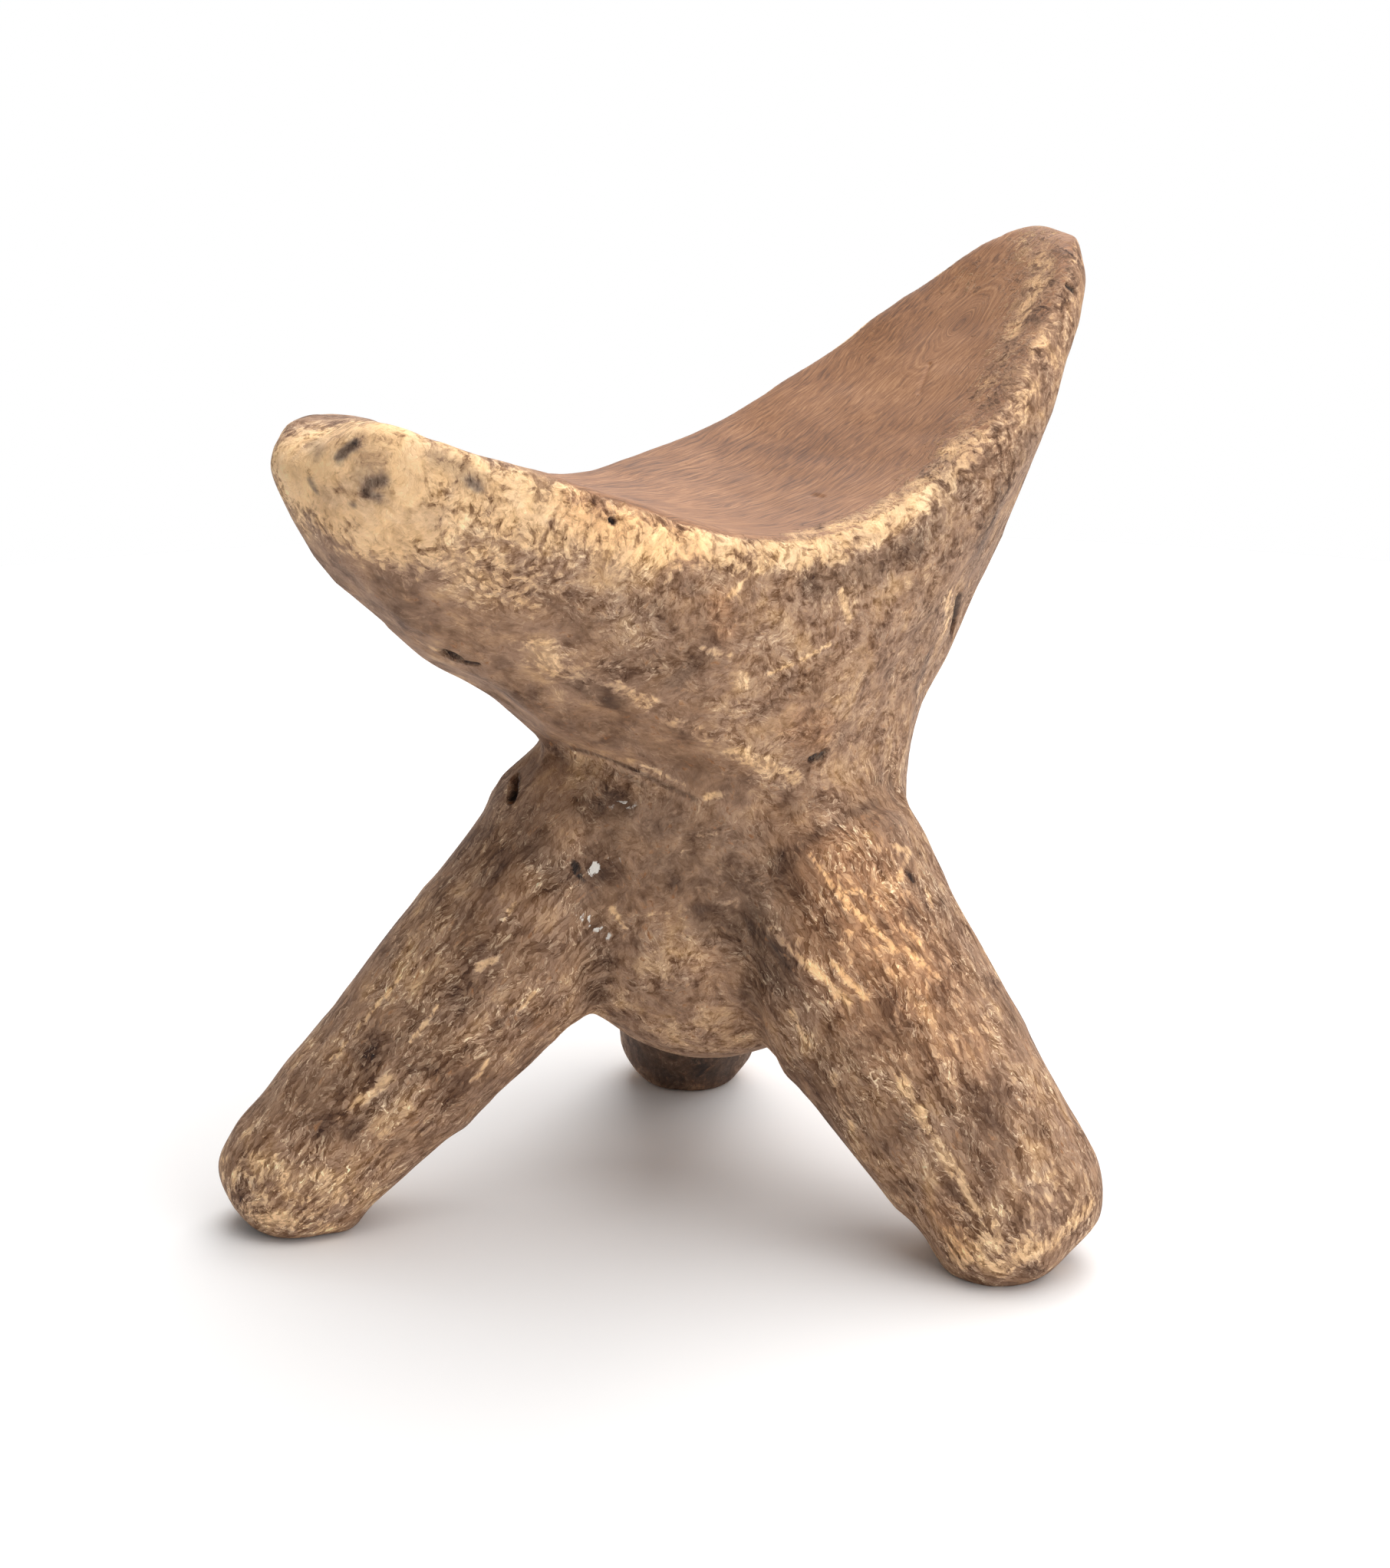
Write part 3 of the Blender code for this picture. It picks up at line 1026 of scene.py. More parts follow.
@dataclass
class Saddle(Piece):
    """The curved seat with its two horns and its tapering underside."""

    level_passes: int = 12
    seat_facing: Range = (0.60, 0.88)
    seat_height: Range = (0.115, 0.125)
    horn_end: Range = (-0.066, -0.046)
    rim_start: Range = (0.10, 0.40)
    rim_stop: Range = (0.95, 0.75)
    rim_wear: float = 0.75
    sole_height: Range = (14.0 * MM, 4.0 * MM)
    sole_wear: float = 0.5
    rear_side: Range = (0.15, 0.40)

    def partings(self) -> tuple[Parting, ...]:
        """The crease under the saddle."""
        return (Parting(tuple(CREASE), tuple(-SHOULDER)),)

    def level(self, skin: CarvedSkin) -> tuple[np.ndarray, np.ndarray]:
        """Smoothed normals of the skin, and how far each one faces up."""
        normals = skin.blur(skin.normals, self.level_passes)
        return normals, normals[:, 2] / np.linalg.norm(normals, axis=1)

    def seat(self, skin: CarvedSkin) -> np.ndarray:
        """Find the upward face of the saddle, inside its rim.

        Args:
            skin: The shaped skin.

        Returns:
            A share of polish for each point, from 0 to 1.
        """
        _, facing = self.level(skin)
        high = ease(*self.seat_height, skin.co[:, 2])
        return ease(*self.seat_facing, facing) * high * ease(*self.horn_end, skin.co[:, 0])

    def rear_wear(self, skin: CarvedSkin) -> np.ndarray:
        """Find the rim and the soles on the side that the photograph does not show.

        Args:
            skin: The shaped skin.

        Returns:
            A share of wear for each point, from 0 to 1.
        """
        normals, facing = self.level(skin)
        high = ease(*self.seat_height, skin.co[:, 2])
        rim = ease(*self.rim_start, facing) * ease(*self.rim_stop, facing) * high
        sole = ease(*self.sole_height, skin.co[:, 2])
        return np.maximum(self.rim_wear * rim, self.sole_wear * sole) * ease(*self.rear_side, normals[:, 1])


@dataclass
class Leg(Piece):
    """A splayed leg, with the direction of its fibres."""

    bearing: float
    foot_reach: float
    root_height: float
    root_reach: float = 0.0159
    foot_height: float = 0.0092
    hub_edge: Range = (0.016, 0.042)
    hub_top: Range = (0.100, 0.080)

    def out(self) -> Vector:
        """Level direction in which the leg leaves the middle."""
        turn = math.radians(self.bearing)
        return Vector((math.cos(turn), math.sin(turn), 0.0))

    def root(self) -> Vector:
        """Middle of the leg's root, inside the hub."""
        return MIDDLE + self.out() * self.root_reach + Vector((0.0, 0.0, self.root_height))

    def axis(self) -> Vector:
        """Direction from the root to the foot."""
        foot = MIDDLE + self.out() * self.foot_reach + Vector((0.0, 0.0, self.foot_height))
        return (foot - self.root()).normalized()

    def partings(self) -> tuple[Parting, ...]:
        """The crease under the saddle and the leg's own shoulder."""
        shoulder = MIDDLE + self.out() * SHOULDER_REACH
        return Parting(tuple(CREASE), tuple(SHOULDER)), Parting(tuple(shoulder), tuple(-self.out()))

    def share(self, points: np.ndarray) -> np.ndarray:
        """How far each point belongs to the leg, from 0 in the hub to 1 down the leg."""
        away = (points - np.array(MIDDLE)) @ np.array(self.out())
        return ease(*self.hub_edge, away) * ease(*self.hub_top, points[:, 2])


@dataclass
class Waist(Piece):
    """The hub between saddle and legs, with its hanging belly."""

    legs: tuple[Leg, ...]

    def partings(self) -> tuple[Parting, ...]:
        """The crease under the saddle and the shoulder of each leg."""
        shoulders = [Parting(tuple(MIDDLE + leg.out() * SHOULDER_REACH), tuple(leg.out()))
                     for leg in self.legs]
        return Parting(tuple(CREASE), tuple(SHOULDER)), *shoulders


LEGS = (
    Leg("left_leg", "body_wood", bearing=159.7, foot_reach=0.0842, root_height=0.0752),
    Leg("right_leg", "body_wood", bearing=-72.6, foot_reach=0.0715, root_height=0.0725),
    Leg("rear_leg", "body_wood", bearing=57.9, foot_reach=0.0536, root_height=0.0671),
)
SADDLE = Saddle("saddle", "seat_wood")
WAIST = Waist("waist", "body_wood", legs=LEGS)

KNOT = (1250, 425)

BENDS = (
    # Low horn
    Bend((380, 556), right=0.0, up=-1.9, reach=11),
    Bend((490, 560), right=0.0, up=1.6, reach=10),
    Bend((356, 620), right=-0.6, up=0.0, reach=8),
    Bend((690, 630), right=0.0, up=0.8, reach=13),
    Bend((478, 795), right=0.7, up=0.4, reach=11),
    Bend((640, 900), right=1.3, up=0.9, reach=14),
    # Back edge of the seat
    Bend((840, 600), right=0.0, up=2.0, reach=24),
    Bend((1100, 448), right=0.0, up=-1.2, reach=17),
    Bend((1225, 362), right=0.0, up=-1.7, reach=21),
    # High horn and right side of the saddle
    Bend((1350, 300), right=0.0, up=0.8, reach=8),
    Bend((1402, 322), right=-1.2, up=0.0, reach=7),
    Bend((1352, 575), right=1.5, up=0.0, reach=21),
    Bend((1305, 690), right=1.0, up=0.0, reach=18),
    Bend((1204, 915), right=-1.1, up=0.0, reach=13),
    # Left leg
    Bend((664, 1022), right=-2.3, up=0.0, reach=13),
    Bend((440, 1322), right=1.0, up=0.0, reach=22),
    Bend((345, 1425), right=0.7, up=0.0, reach=9),
    Bend((285, 1515), right=-0.7, up=0.0, reach=7),
    Bend((465, 1598), right=0.0, up=-1.3, reach=7),
    Bend((615, 1465), right=0.0, up=-1.0, reach=12),
    # Right leg
    Bend((1200, 1085), right=0.7, up=0.0, reach=14),
    Bend((1330, 1350), right=0.6, up=0.0, reach=26),
    Bend((1412, 1480), right=0.7, up=0.0, reach=14),
    Bend((1405, 1630), right=-1.0, up=0.6, reach=8),
    Bend((1015, 1395), right=0.0, up=-1.2, reach=6),
    Bend((1200, 1612), right=0.5, up=1.6, reach=10),
)

DENTS = (
    # Crease between the saddle and the neck
    Dent(5.5, 1.3, ((731, 981), (830, 1010), (920, 1042), (1050, 1080), (1120, 1064), (1170, 1026))),
    # Hollow neck
    Dent(13.0, 2.2, ((840, 1140), (950, 1155))),
    # Valleys between the belly and the front legs
    Dent(4.5, 1.1, ((1002, 1105), (1012, 1150), (1028, 1190))),
    Dent(7.0, 1.6, ((952, 1240), (952, 1290), (976, 1345))),
    Dent(6.0, 0.9, ((790, 1060), (768, 1180), (778, 1290))),
    # Flat underside between the ridge and the crease
    Dent(7.0, 0.8, ((740, 930), (830, 962), (930, 1012), (1010, 1042))),
    # Shoulder of the right leg
    Dent(10.0, -1.0, ((1095, 1130), (1160, 1092))),
    # Ledge under the worn rim
    Dent(3.0, 0.45, ((930, 752), (1040, 760), (1130, 740), (1200, 700), (1262, 640))),
    # Incised line under the saddle
    Dent(0.8, 0.7, ((738, 981), (790, 1001), (850, 1022), (908, 1046))),
    Dent(0.7, 0.4, ((793, 1012), (812, 1016), (838, 1028))),
    Dent(0.8, 0.4, ((908, 1046), (985, 1052), (1050, 1056))),
    Dent(0.7, 0.4, ((886, 1090), (952, 1080))),
    Dent(0.7, 0.35, ((845, 1192), (900, 1184), (962, 1176))),
    # Hole on the upper edge of the left leg
    Dent(1.3, 2.8, ((668, 1012), (664, 1040))),
    # Hole under the low horn
    Dent(2.4, 2.2, ((582, 856), (588, 859))),
    Dent(0.7, 0.5, ((592, 862), (622, 868))),
    # Short cut beside the waist
    Dent(0.9, 1.4, ((750, 1130), (760, 1150))),
    # Pit above the crease
    Dent(1.1, 1.4, ((1062, 991), (1080, 983))),
    # Pinhole on the front rim
    Dent(0.8, 1.2, ((797, 677), (801, 681))),
    # Worm holes and a split at the shoulder of the right leg
    Dent(0.7, 0.8, ((1175, 1104), (1177, 1106))),
    Dent(0.7, 0.8, ((1200, 1109), (1202, 1111))),
    Dent(0.6, 0.7, ((1176, 1128), (1193, 1146))),
    # Crack in the seat
    Dent(0.6, 0.3, ((1212, 474), (1206, 490), (1198, 512))),
    # Worn pit in the seat
    Dent(1.2, 0.3, ((1060, 645), (1070, 648))),
    # Nick in the high horn
    Dent(1.0, 0.9, ((1393, 371), (1401, 379))),
    # Chip on the right side of the saddle
    Dent(2.4, 1.4, ((1252, 782), (1246, 815))),
)

MARKS: dict[StainAndShade, tuple[Mark, ...]] = {
    StainAndShade.WORN: (
        # Bare rim along the front of the seat
        Mark(8.0, 0.75, ((740, 690), (800, 700), (860, 715))),
        Mark(5.5, 0.74, ((860, 705), (950, 718), (1040, 722), (1130, 695), (1195, 655))),
        Mark(4.0, 0.62, ((1195, 652), (1270, 590))),
        Mark(4.0, 0.30, ((1270, 590), (1340, 510), (1385, 430))),
        Mark(7.0, 0.60, ((1040, 700), (1130, 674), (1200, 632), (1262, 566))),
        Mark(12.0, 0.44, ((1210, 618), (1276, 545), (1322, 465), (1356, 395))),
        Mark(10.0, 0.46, ((1356, 395), (1374, 340), (1350, 300))),
        # Bare end and upper edge of the low horn
        Mark(18.0, 1.05, ((390, 600), (450, 640), (520, 670))),
        Mark(10.0, 0.82, ((440, 560), (560, 610), (660, 650), (760, 690))),
        Mark(9.0, 0.45, ((580, 720), (680, 770))),
        # Yellow ridge on the saddle's underside
        Mark(4.5, 0.40, ((700, 866), (770, 884))),
        Mark(3.0, 0.52, ((800, 896), (850, 918))),
        Mark(2.4, 0.45, ((872, 938), (925, 968))),
        Mark(3.8, 0.52, ((960, 984), (1034, 1016))),
        Mark(6.0, 0.20, ((690, 850), (800, 890))),
        # Pale streaks on the right leg
        Mark(1.3, 0.80, ((1005, 1212), (1040, 1247))),
        Mark(2.2, 0.65, ((1172, 1404), (1215, 1480), (1275, 1580))),
        Mark(2.0, 0.55, ((1086, 1404), (1110, 1470))),
        Mark(1.8, 0.65, ((1030, 1322), (1052, 1362))),
        # Torn strands on the right leg
        Mark(0.7, 0.9, ((1056, 1115), (1085, 1156), (1110, 1188))),
        Mark(0.6, 0.8, ((1106, 1160), (1143, 1170))),
        Mark(1.2, 1.0, ((1040, 1247), (1070, 1272), (1106, 1307))),
        Mark(0.9, 0.9, ((1085, 1254), (1128, 1302))),
        Mark(1.2, 0.8, ((1120, 1190), (1140, 1209), (1168, 1238))),
        Mark(0.8, 0.8, ((1178, 1206), (1199, 1231))),
        Mark(0.8, 0.7, ((1189, 1243), (1214, 1266), (1232, 1289))),
        Mark(1.4, 0.7, ((1164, 1103), (1184, 1112), (1173, 1145))),
        Mark(1.0, 0.7, ((1209, 1160), (1217, 1181))),
        # Strands and chips on the left leg
        Mark(0.6, 0.9, ((429, 1383), (473, 1331), (522, 1272))),
        Mark(0.5, 0.9, ((534, 1360), (570, 1312))),
        Mark(0.8, 0.7, ((675, 1321), (698, 1293))),
        Mark(0.9, 0.8, ((440, 1461), (467, 1432), (509, 1406))),
        Mark(0.6, 0.9, ((610, 1415), (626, 1402), (635, 1386))),
        Mark(0.6, 0.8, ((655, 1205), (672, 1175))),
        # Strands and chips on the front of the saddle
        Mark(0.6, 0.9, ((999, 880), (1042, 862), (1085, 839))),
        Mark(1.5, 0.6, ((1097, 770), (1106, 810))),
        Mark(1.3, 0.6, ((915, 846), (950, 854))),
        Mark(0.8, 0.6, ((971, 876), (973, 897))),
        Mark(0.8, 0.8, ((950, 778), (978, 752))),
        # Worn soles
        Mark(12.0, 0.38, ((320, 1535), (425, 1560))),
        Mark(11.0, 0.36, ((1265, 1610), (1385, 1580))),
        Mark(4.0, 0.55, ((1245, 1640), (1300, 1654), (1370, 1622), (1420, 1572))),
        Mark(4.0, 0.45, ((300, 1556), (350, 1588), (430, 1602))),
        Mark(5.0, 0.40, ((420, 1530), (450, 1560))),
        # Yellow flecks on the left leg
        Mark(1.2, 1.0, ((624, 1261), (646, 1250))),
        Mark(2.0, 0.60, ((468, 1436), (510, 1404))),
        # Pale lips of the chip and of the hole under the low horn
        Mark(2.0, 0.6, ((1240, 778), (1236, 820))),
        Mark(1.8, 0.7, ((562, 848), (573, 852))),
        # Fine pale lines round the neck
        Mark(0.6, 0.35, ((815, 1000), (860, 1015), (905, 1034))),
        Mark(0.6, 0.40, ((886, 1094), (952, 1084))),
        Mark(0.6, 0.35, ((885, 1112), (940, 1106))),
        Mark(0.6, 0.30, ((820, 1198), (900, 1190), (955, 1180))),
        Mark(0.8, 0.8, ((795, 1185), (815, 1212))),
        Mark(1.2, 0.8, ((922, 1042), (940, 1040))),
        # Bare patches on the right leg
        Mark(14.0, 0.18, ((1110, 1150), (1190, 1280))),
        Mark(13.0, 0.10, ((1085, 1220), (1165, 1340), (1240, 1360))),
    ),
    StainAndShade.RED: (
        # Rim of the high horn
        Mark(13.0, 0.7, ((1260, 570), (1322, 470), (1360, 390), (1374, 330))),
        # Front of the saddle
        Mark(8.0, 0.7, ((760, 660), (850, 695), (900, 705))),
        Mark(4.0, 0.8, ((938, 783), (944, 821))),
        Mark(6.0, 0.6, ((1040, 945), (1075, 955))),
        # Right leg
        Mark(17.0, 1.0, ((1110, 1150), (1190, 1280))),
        Mark(14.0, 0.7, ((1085, 1220), (1165, 1340), (1240, 1360))),
        Mark(6.0, 0.7, ((1225, 1580), (1245, 1620))),
    ),
    StainAndShade.DARK: (
        # Rim of the high horn
        Mark(10.0, 0.60, ((1245, 610), (1290, 555), (1330, 490), (1365, 400), (1380, 335))),
        # Smudges on the low horn
        Mark(1.5, 3.2, ((442, 596), (452, 586), (462, 579))),
        Mark(2.2, 2.2, ((482, 630), (498, 626))),
        Mark(1.6, 2.2, ((476, 642), (492, 648))),
        Mark(4.4, 0.8, ((478, 622), (490, 640))),
        Mark(1.5, 2.4, ((612, 628), (624, 636))),
        Mark(3.0, 0.9, ((570, 596), (596, 608), (620, 628))),
        Mark(2.6, 0.9, ((408, 576), (416, 592))),
        Mark(1.0, 2.0, ((404, 626), (412, 640))),
        Mark(0.9, 2.0, ((460, 657), (462, 659))),
        # Shaded underside behind the ridge
        Mark(6.0, 0.25, ((650, 900), (740, 945), (850, 992), (960, 1036))),
        # Painted shade in holes and cuts
        Mark(2.6, 2.0, ((1253, 786), (1247, 812))),
        Mark(2.6, 2.6, ((581, 855), (589, 859))),
        Mark(1.7, 2.4, ((670, 1016), (665, 1038))),
        Mark(0.8, 2.6, ((797, 677), (801, 681))),
        Mark(0.7, 1.6, ((748, 1124), (752, 1138), (762, 1150))),
        Mark(0.8, 1.3, ((1066, 990), (1078, 985))),
        Mark(0.7, 2.0, ((1393, 371), (1401, 379))),
        # Painted shade on the underside of the low horn
        Mark(13.0, 0.20, ((420, 740), (540, 820), (660, 890))),
        # Patches under the rim
        Mark(5.0, 0.70, ((1060, 762), (1140, 748), (1195, 712), (1225, 680))),
        Mark(6.0, 0.50, ((810, 790), (850, 815))),
        Mark(11.0, 0.32, ((800, 820), (880, 860))),
        Mark(8.0, 0.45, ((1340, 560), (1310, 640), (1280, 720))),
        Mark(9.0, 0.22, ((1210, 750), (1200, 880))),
        Mark(3.5, 0.75, ((880, 890), (900, 868))),
        Mark(5.0, 0.60, ((755, 890), (800, 915))),
        # Smoky band and stains in the seat
        Mark(5.0, 0.7, ((910, 575), (1000, 590), (1090, 600))),
        Mark(14.0, 0.5, ((950, 612), (1030, 602), (1110, 590))),
        Mark(4.0, 0.6, ((1250, 420), (1268, 428))),
        Mark(3.0, 0.8, ((1384, 330), (1390, 345))),
        # Painted shade in the hollows round the waist, under the saddle and between the legs; the neck is
        # also sooty
        Mark(10.0, 0.70, ((870, 1130), (970, 1150))),
        Mark(9.0, 1.0, ((930, 1205), (985, 1210), (1005, 1262))),
        Mark(4.0, 0.60, ((1012, 1115), (985, 1200), (975, 1310))),
        Mark(6.0, 0.60, ((792, 1060), (765, 1180), (778, 1300))),
        Mark(6.0, 0.60, ((700, 1110), (725, 1140))),
        Mark(9.0, 0.60, ((770, 1045), (860, 1075), (960, 1100))),
        # Painted shade in the incised line under the saddle
        Mark(0.7, 1.1, ((738, 981), (790, 1001), (850, 1022))),
        Mark(0.7, 1.0, ((850, 1022), (908, 1046))),
        Mark(0.8, 0.8, ((793, 1012), (812, 1016), (838, 1028))),
        # Shade on the legs
        Mark(11.0, 0.40, ((430, 1425), (520, 1365), (610, 1300))),
        Mark(9.0, 0.25, ((610, 1300), (680, 1250))),
        Mark(10.0, 0.28, ((1155, 1355), (1225, 1410))),
        # Painted shade in the crease above the right leg
        Mark(1.6, 0.5, ((988, 1182), (1020, 1136), (1044, 1101), (1105, 1062), (1150, 1042))),
        # Rear foot in the stool's shade
        Mark(17.0, 1.6, ((860, 1385), (945, 1385))),
        # Grey streak on the left leg
        Mark(3.0, 0.75, ((560, 1392), (505, 1430), (455, 1476))),
    ),
    StainAndShade.RUBBED: (
        # Smooth rear foot
        Mark(18.0, 1.0, ((860, 1385), (945, 1385))),
        # Underside of the saddle
        Mark(7.0, 0.9, ((740, 945), (850, 990), (960, 1034))),
    ),
    StainAndShade.GLINT: (
        # Glossy spots beside the neck, with painted highlights on them
        Mark(1.6, 1.2, ((773, 1136), (777, 1134))),
        Mark(1.5, 0.45, ((794, 1125), (797, 1123))),
        Mark(1.6, 0.40, ((796, 1048), (812, 1050), (824, 1051))),
        Mark(1.7, 0.48, ((756, 1192), (770, 1204), (790, 1222))),
    ),
}


class Sight:
    """Finds where pixels of the photograph lie on the skin."""

    stride: float = 14.0

    def __init__(self, camera: PhotoCamera, skin: CarvedSkin) -> None:
        """Look at the skin as it is now."""
        self.camera = camera
        self.tree = skin.tree()

    def path(self, pixels: tuple[Pixel, ...]) -> np.ndarray:
        """Points of the skin under pixels of the photograph.

        Args:
            pixels: Pixels that lie on the stool.

        Returns:
            One row for each step along the pixels that meets the skin.
        """
        stops = [Vector(pixels[0])]
        for start, end in zip(map(Vector, pixels), map(Vector, pixels[1:])):
            count = math.ceil((end - start).length / self.stride)
            stops += [start.lerp(end, k / count) for k in range(1, count + 1)]
        hits = [self.tree.ray_cast(self.camera.place(), self.camera.ray(stop))[0] for stop in stops]
        return np.array([tuple(hit) for hit in hits if hit is not None], np.float32)


@dataclass(frozen=True)
class FibreField:
    """Runs of the fibres over the carving: along the legs, round the neck, down the belly."""

    legs: tuple[Leg, ...]
    pull: float = 0.25
    neck: Range = (0.060, 0.072)
    run_fade: Range = (-2.0 * MM, 2.0 * MM)
    rub_fade: Range = (-4.0 * MM, 4.0 * MM)
    rub_facing: Range = (-0.30, -0.55)
    rub_height: Range = (0.055, 0.068)
    neck_rub: float = 0.7
    stray_fade: Range = (-2.0 * MM, 4.0 * MM)
    front_facing: Range = (-0.45, -0.15)
    front_stray: float = 0.25
    under_stray: float = 0.30
    hub_stray: float = 0.45
    leg_stray: float = 0.17

    @staticmethod
    def above_crease(points: np.ndarray, fade: Range) -> np.ndarray:
        """Share of each point that lies above the crease under the saddle, over a fade."""
        return ease(*fade, (points - np.array(CREASE)) @ np.array(SHOULDER))

    def coords(self, points: np.ndarray) -> np.ndarray:
        """Find coordinates that shrink along each leg, so that an even pattern is drawn out into streaks.

        Args:
            points: Points of the skin.

        Returns:
            One row of coordinates for each point.
        """
        coords = points.astype(float)
        for leg in self.legs:
            axis = np.array(leg.axis())
            along = (points - np.array(leg.root())) @ axis
            coords -= (leg.share(points) * (1.0 - self.pull) * along)[:, None] * axis
        return coords

    def directions(self, points: np.ndarray, normals: np.ndarray) -> np.ndarray:
        """Find the direction of the fibres.

        Args:
            points: Points of the skin.
            normals: Normals at these points.

        Returns:
            A unit direction for each point.
        """
        round_neck = np.cross((0.0, 0.0, 1.0), normals)
        below = ease(self.neck[1], self.neck[0], points[:, 2])[:, None]
        runs = round_neck * (1.0 - below) + np.array((0.0, 0.0, -1.0)) * below
        above = self.above_crease(points, self.run_fade)[:, None]
        runs = runs * (1.0 - above) + np.array((1.0, 0.0, 0.0)) * above
        for leg in self.legs:
            share = leg.share(points)[:, None]
            runs = runs * (1.0 - share) + np.array(leg.axis()) * share
        return runs / np.maximum(np.linalg.norm(runs, axis=1), 1e-6)[:, None]

    def rubbed(self, points: np.ndarray, normals: np.ndarray) -> np.ndarray:
        """Find how far fibres were rubbed flat: most under the saddle and round the neck.

        Args:
            points: Points of the skin.
            normals: Normals at these points.

        Returns:
            A share for each point, from 0 to 1.
        """
        above = self.above_crease(points, self.rub_fade)
        under = ease(*self.rub_facing, normals[:, 2]) * above
        neck = ease(*self.rub_height, points[:, 2]) * (1.0 - above)
        for leg in self.legs:
            neck = neck * (1.0 - leg.share(points))
        return np.maximum(under, self.neck_rub * neck)

    def stray(self, points: np.ndarray, normals: np.ndarray) -> np.ndarray:
        """Find how far fibres stray from their run.

        Args:
            points: Points of the skin.
            normals: Normals at these points.

        Returns:
            A share for each point, from 0 for an even run to 1 for any direction.
        """
        above = self.above_crease(points, self.stray_fade)
        saddle = self.under_stray + self.front_stray * ease(*self.front_facing, normals[:, 2])
        stray = self.hub_stray + above * (saddle - self.hub_stray)
        for leg in self.legs:
            share = leg.share(points)
            stray = stray * (1.0 - share) + self.leg_stray * share
        return stray


@dataclass(frozen=True)
class SoftBox:
    """A square soft light that faces the stool."""

    name: str
    place: Triple
    size: float
    power: float
    target: Triple = (0.0, 0.0, 0.08)

    def hang(self) -> None:
        """Hang the light in the scene."""
        data = bpy.data.lights.new(self.name, "AREA")
        data.size = self.size
        data.energy = self.power
        item = bpy.data.objects.new(self.name, data)
        item.location = self.place
        aim = Vector(self.target) - Vector(self.place)
        item.rotation_euler = aim.to_track_quat("-Z", "Y").to_euler()
        bpy.context.scene.collection.objects.link(item)


@dataclass(frozen=True)
class Studio:
    """Pale floor, soft lights and white surroundings."""

    floor_radius: float = 0.62
    floor_corners: int = 96
    floor_colour: Colour = (0.93, 0.92, 0.915)
    floor_roughness: float = 0.9
    floor_shine: float = 0.1
    ambient: float = 0.27
    boxes: tuple[SoftBox, ...] = (
        SoftBox("overhead_box", (0.28, -0.20, 1.20), 1.7, 21.5),
        SoftBox("front_box", (0.12, -1.25, 0.40), 1.0, 6.5),
        SoftBox("rear_box", (0.55, 0.50, 0.85), 0.8, 4.5),
    )

    def floor(self) -> None:
        """Lay the floor."""
        bm = bmesh.new()
        bmesh.ops.create_circle(bm, cap_ends=True, segments=self.floor_corners, radius=self.floor_radius)
        mesh = bpy.data.meshes.new("floor")
        bm.to_mesh(mesh)
        bm.free()
        item = bpy.data.objects.new("floor", mesh)
        bpy.context.scene.collection.objects.link(item)
        material = bpy.data.materials.new("pale_floor")
        material.use_nodes = True
        shader = material.node_tree.nodes["Principled BSDF"]
        shader.inputs["Base Color"].default_value = (*self.floor_colour, 1.0)
        shader.inputs["Roughness"].default_value = self.floor_roughness
        shader.inputs["Specular IOR Level"].default_value = self.floor_shine
        mesh.materials.append(material)

    def world(self) -> None:
        """Surround the stool with even light that looks white to the camera."""
        world = bpy.data.worlds.new("white_room")
        world.use_nodes = True
        bpy.context.scene.world = world
        sheet = NodeSheet(world.node_tree)
        background = world.node_tree.nodes["Background"]
        rays = sheet.add("LightPath").outputs
        seen = sheet.math("MAXIMUM", rays["Is Camera Ray"], rays["Is Glossy Ray"])
        seen = sheet.math("MAXIMUM", seen, rays["Is Transmission Ray"])
        background.inputs["Color"].default_value = (1.0, 1.0, 1.0, 1.0)
        level = sheet.add("MapRange", {"Value": seen, "To Min": self.ambient, "To Max": 1.0}).outputs[0]
        sheet.feed(background.inputs["Strength"], level)

    def build(self) -> None:
        """Set up floor, lights, world and view."""
        self.floor()
        for box in self.boxes:
            box.hang()
        self.world()
        bpy.context.scene.view_settings.view_transform = "Standard"


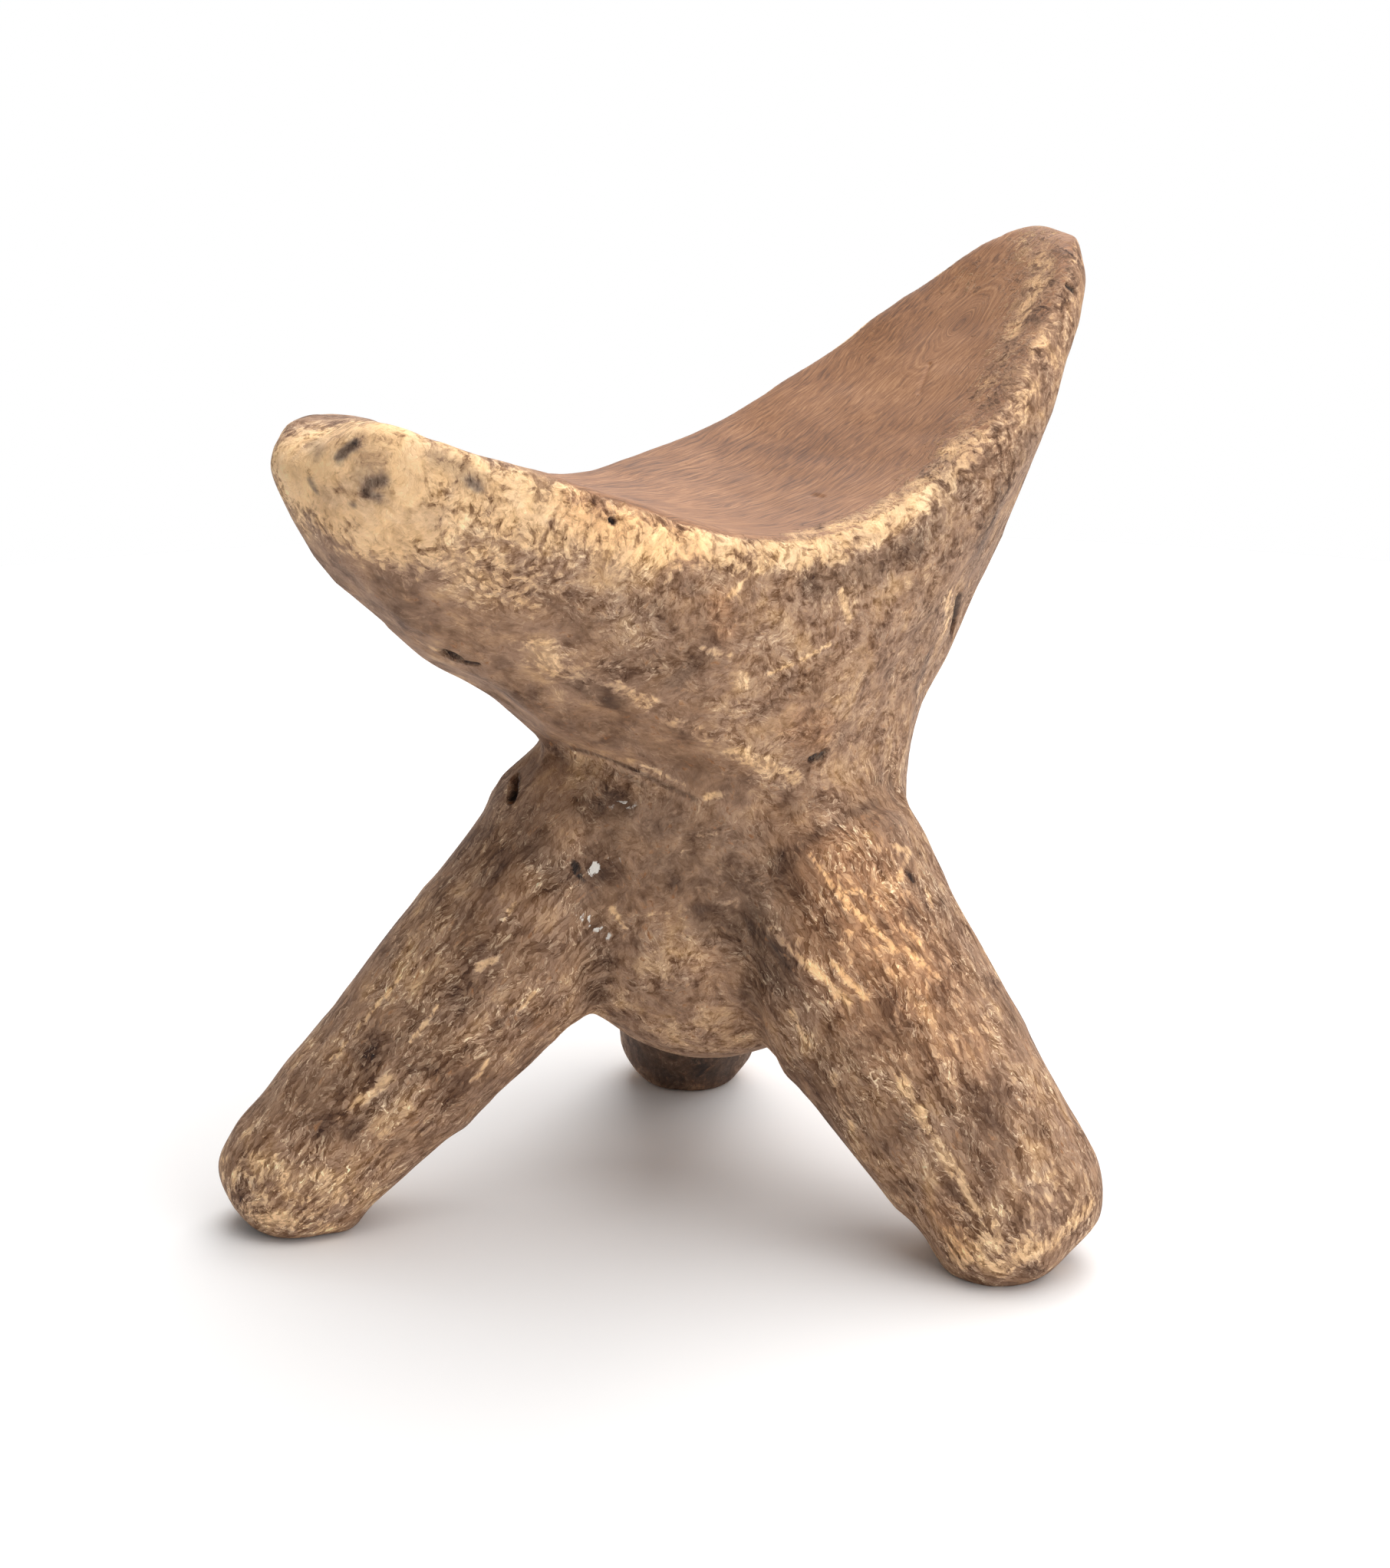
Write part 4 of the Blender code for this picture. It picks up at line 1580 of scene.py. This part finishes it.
@dataclass(frozen=True)
class Carver:
    """Shapes the skin after the photograph and records how it was stained and worn, and where shade and
    highlights are painted.
    """

    camera: PhotoCamera
    fibres: FibreField
    tool: Adze = Adze()
    narrow: float = 2.0 * MM
    fine_reach: float = 3.0 * MM
    horn: Range = (38.0 * MM, 16.0 * MM)
    horn_facing: Range = (0.1, 0.5)
    rubs: int = 30
    mark_core: float = 0.15
    dent_core: float = 0.2
    curve_passes: int = 30
    plain_height: Range = (0.095, 0.105)
    plain_facing: Range = (-0.5, -0.2)
    plain_share: float = 0.6
    bumps: tuple[Range, ...] = ((45.0, 0.30 * MM), (160.0, 0.14 * MM))
    edge_curve: Range = (0.35, 1.1)
    # Curvature of the hollows that get painted shade, and its strength in pits
    hollow_curve: Range = (-0.3, -1.2)
    pit_shade: float = 1.6

    def shape(self) -> CarvedSkin:
        """Grow the skin and fit its form to the outline in the photograph.

        Returns:
            The skin, with a finer mesh round narrow cuts.
        """
        skin = CarvedSkin()
        skin.grow(frame["nodes"])
        blunt = ease(*self.horn, skin.distance(skin.co[[skin.co[:, 0].argmin()]], self.horn[0]))
        skin.fill(blunt * ease(*self.horn_facing, skin.normals[:, 2]))
        skin.wear(blunt, self.rubs)
        right, up, _ = self.camera.axes()
        for bend in BENDS:
            move = right * (bend.right * MM) + up * (bend.up * MM)
            skin.shift(self.camera.place(), self.camera.ray(bend.pixel), move, bend.reach * MM)
        skin.read_normals()
        sight = Sight(self.camera, skin)
        cuts = [sight.path(dent.pixels) for dent in DENTS if dent.reach * MM < self.narrow]
        skin.refine(cuts, self.fine_reach)
        return skin

    def stain_and_shade(self, skin: CarvedSkin, sight: Sight) -> dict[StainAndShade, np.ndarray]:
        """Paint the marks, painted shade and highlights among them, and the wear of the side that the
        photograph does not show.

        Args:
            skin: The shaped skin.
            sight: The photograph's view of it.

        Returns:
            The strength of each mask at each point, painted shade and highlights among them.
        """
        stains_and_shade = {stain_and_shade: np.zeros(len(skin.co)) for stain_and_shade in StainAndShade}
        for stain_and_shade, marks in MARKS.items():
            for mark in marks:
                reach = mark.reach * MM
                away = skin.distance(sight.path(mark.pixels), reach)
                cover = mark.strength * ease(reach, self.mark_core * reach, away)
                stains_and_shade[stain_and_shade] = np.maximum(stains_and_shade[stain_and_shade], cover)
        stains_and_shade[StainAndShade.WORN] = np.maximum(stains_and_shade[StainAndShade.WORN], SADDLE.rear_wear(skin))
        return stains_and_shade

    def dent(self, skin: CarvedSkin, sight: Sight) -> np.ndarray:
        """Press the dents into the skin.

        Args:
            skin: The shaped skin.
            sight: The photograph's view of it.

        Returns:
            How far each point lies in a narrow pit or cut, from 0 to 1.
        """
        pits = np.zeros(len(skin.co))
        for dent in DENTS:
            reach = dent.reach * MM
            cover = ease(reach, self.dent_core * reach, skin.distance(sight.path(dent.pixels), reach))
            skin.push(-(dent.depth * MM) * cover)
            if reach < self.narrow:
                pits = np.maximum(pits, cover)
        return pits

    def carve(self, skin: CarvedSkin) -> None:
        """Cut the dents and facets, roughen the wood and store its masks of wear, colour, painted shade and
        painted highlights.

        Args:
            skin: The shaped skin.
        """
        sight = Sight(self.camera, skin)
        polish = SADDLE.seat(skin)
        along = self.fibres.directions(skin.co, skin.normals)
        skin.store("stray", "FLOAT", self.fibres.stray(skin.co, skin.normals))
        skin.store("grain", "FLOAT_VECTOR", self.fibres.coords(skin.co))
        skin.store("along", "FLOAT_VECTOR", along)
        stains_and_shade = self.stain_and_shade(skin, sight)
        pits = self.dent(skin, sight)
        proud = skin.co - skin.blur(skin.co, self.curve_passes)
        curve = np.einsum("ij,ij->i", proud, skin.normals) / MM
        plain = ease(*self.plain_height, skin.co[:, 2]) * ease(*self.plain_facing, skin.normals[:, 2])
        skin.adze(self.tool, along, (1.0 - polish) * (1.0 - self.plain_share * plain))
        for scale, height in self.bumps:
            skin.roughen(scale, height)
        skin.sit()
        stains_and_shade[StainAndShade.POLISH] = polish
        stains_and_shade[StainAndShade.RUBBED] = np.maximum(stains_and_shade[StainAndShade.RUBBED], self.fibres.rubbed(skin.co, skin.normals))
        stains_and_shade[StainAndShade.EDGE] = ease(*self.edge_curve, curve)
        # Painted shade in concave hollows and in narrow pits and cuts
        stains_and_shade[StainAndShade.HOLLOW] = np.maximum(ease(*self.hollow_curve, curve), self.pit_shade * pits)
        for stain_and_shade, values in stains_and_shade.items():
            skin.store(stain_and_shade.value, "FLOAT", values)
        skin.store("skin_normal", "FLOAT_VECTOR", skin.normals)


def main() -> None:
    """Build the stool, its finish and its studio."""
    logging.basicConfig(level=logging.INFO, format="%(name)s %(message)s")
    camera = PhotoCamera()
    camera.build()
    carver = Carver(camera, FibreField(LEGS))
    skin = carver.shape()
    knot = Vector(Sight(camera, skin).path((KNOT,))[0])
    carver.carve(skin)
    fibres, lines = FrayedWood().build(), SeatLines().build()
    finish = WoodFinish()
    woods = {slot: finish.build(slot, fibres, lines, knot) for slot in ("seat_wood", "body_wood")}
    for piece in (SADDLE, WAIST, *LEGS):
        piece.dress(piece.cut(skin), woods[piece.slot])
    bpy.data.meshes.remove(skin.mesh)
    Studio().build()


if __name__ == "__main__":
    main()
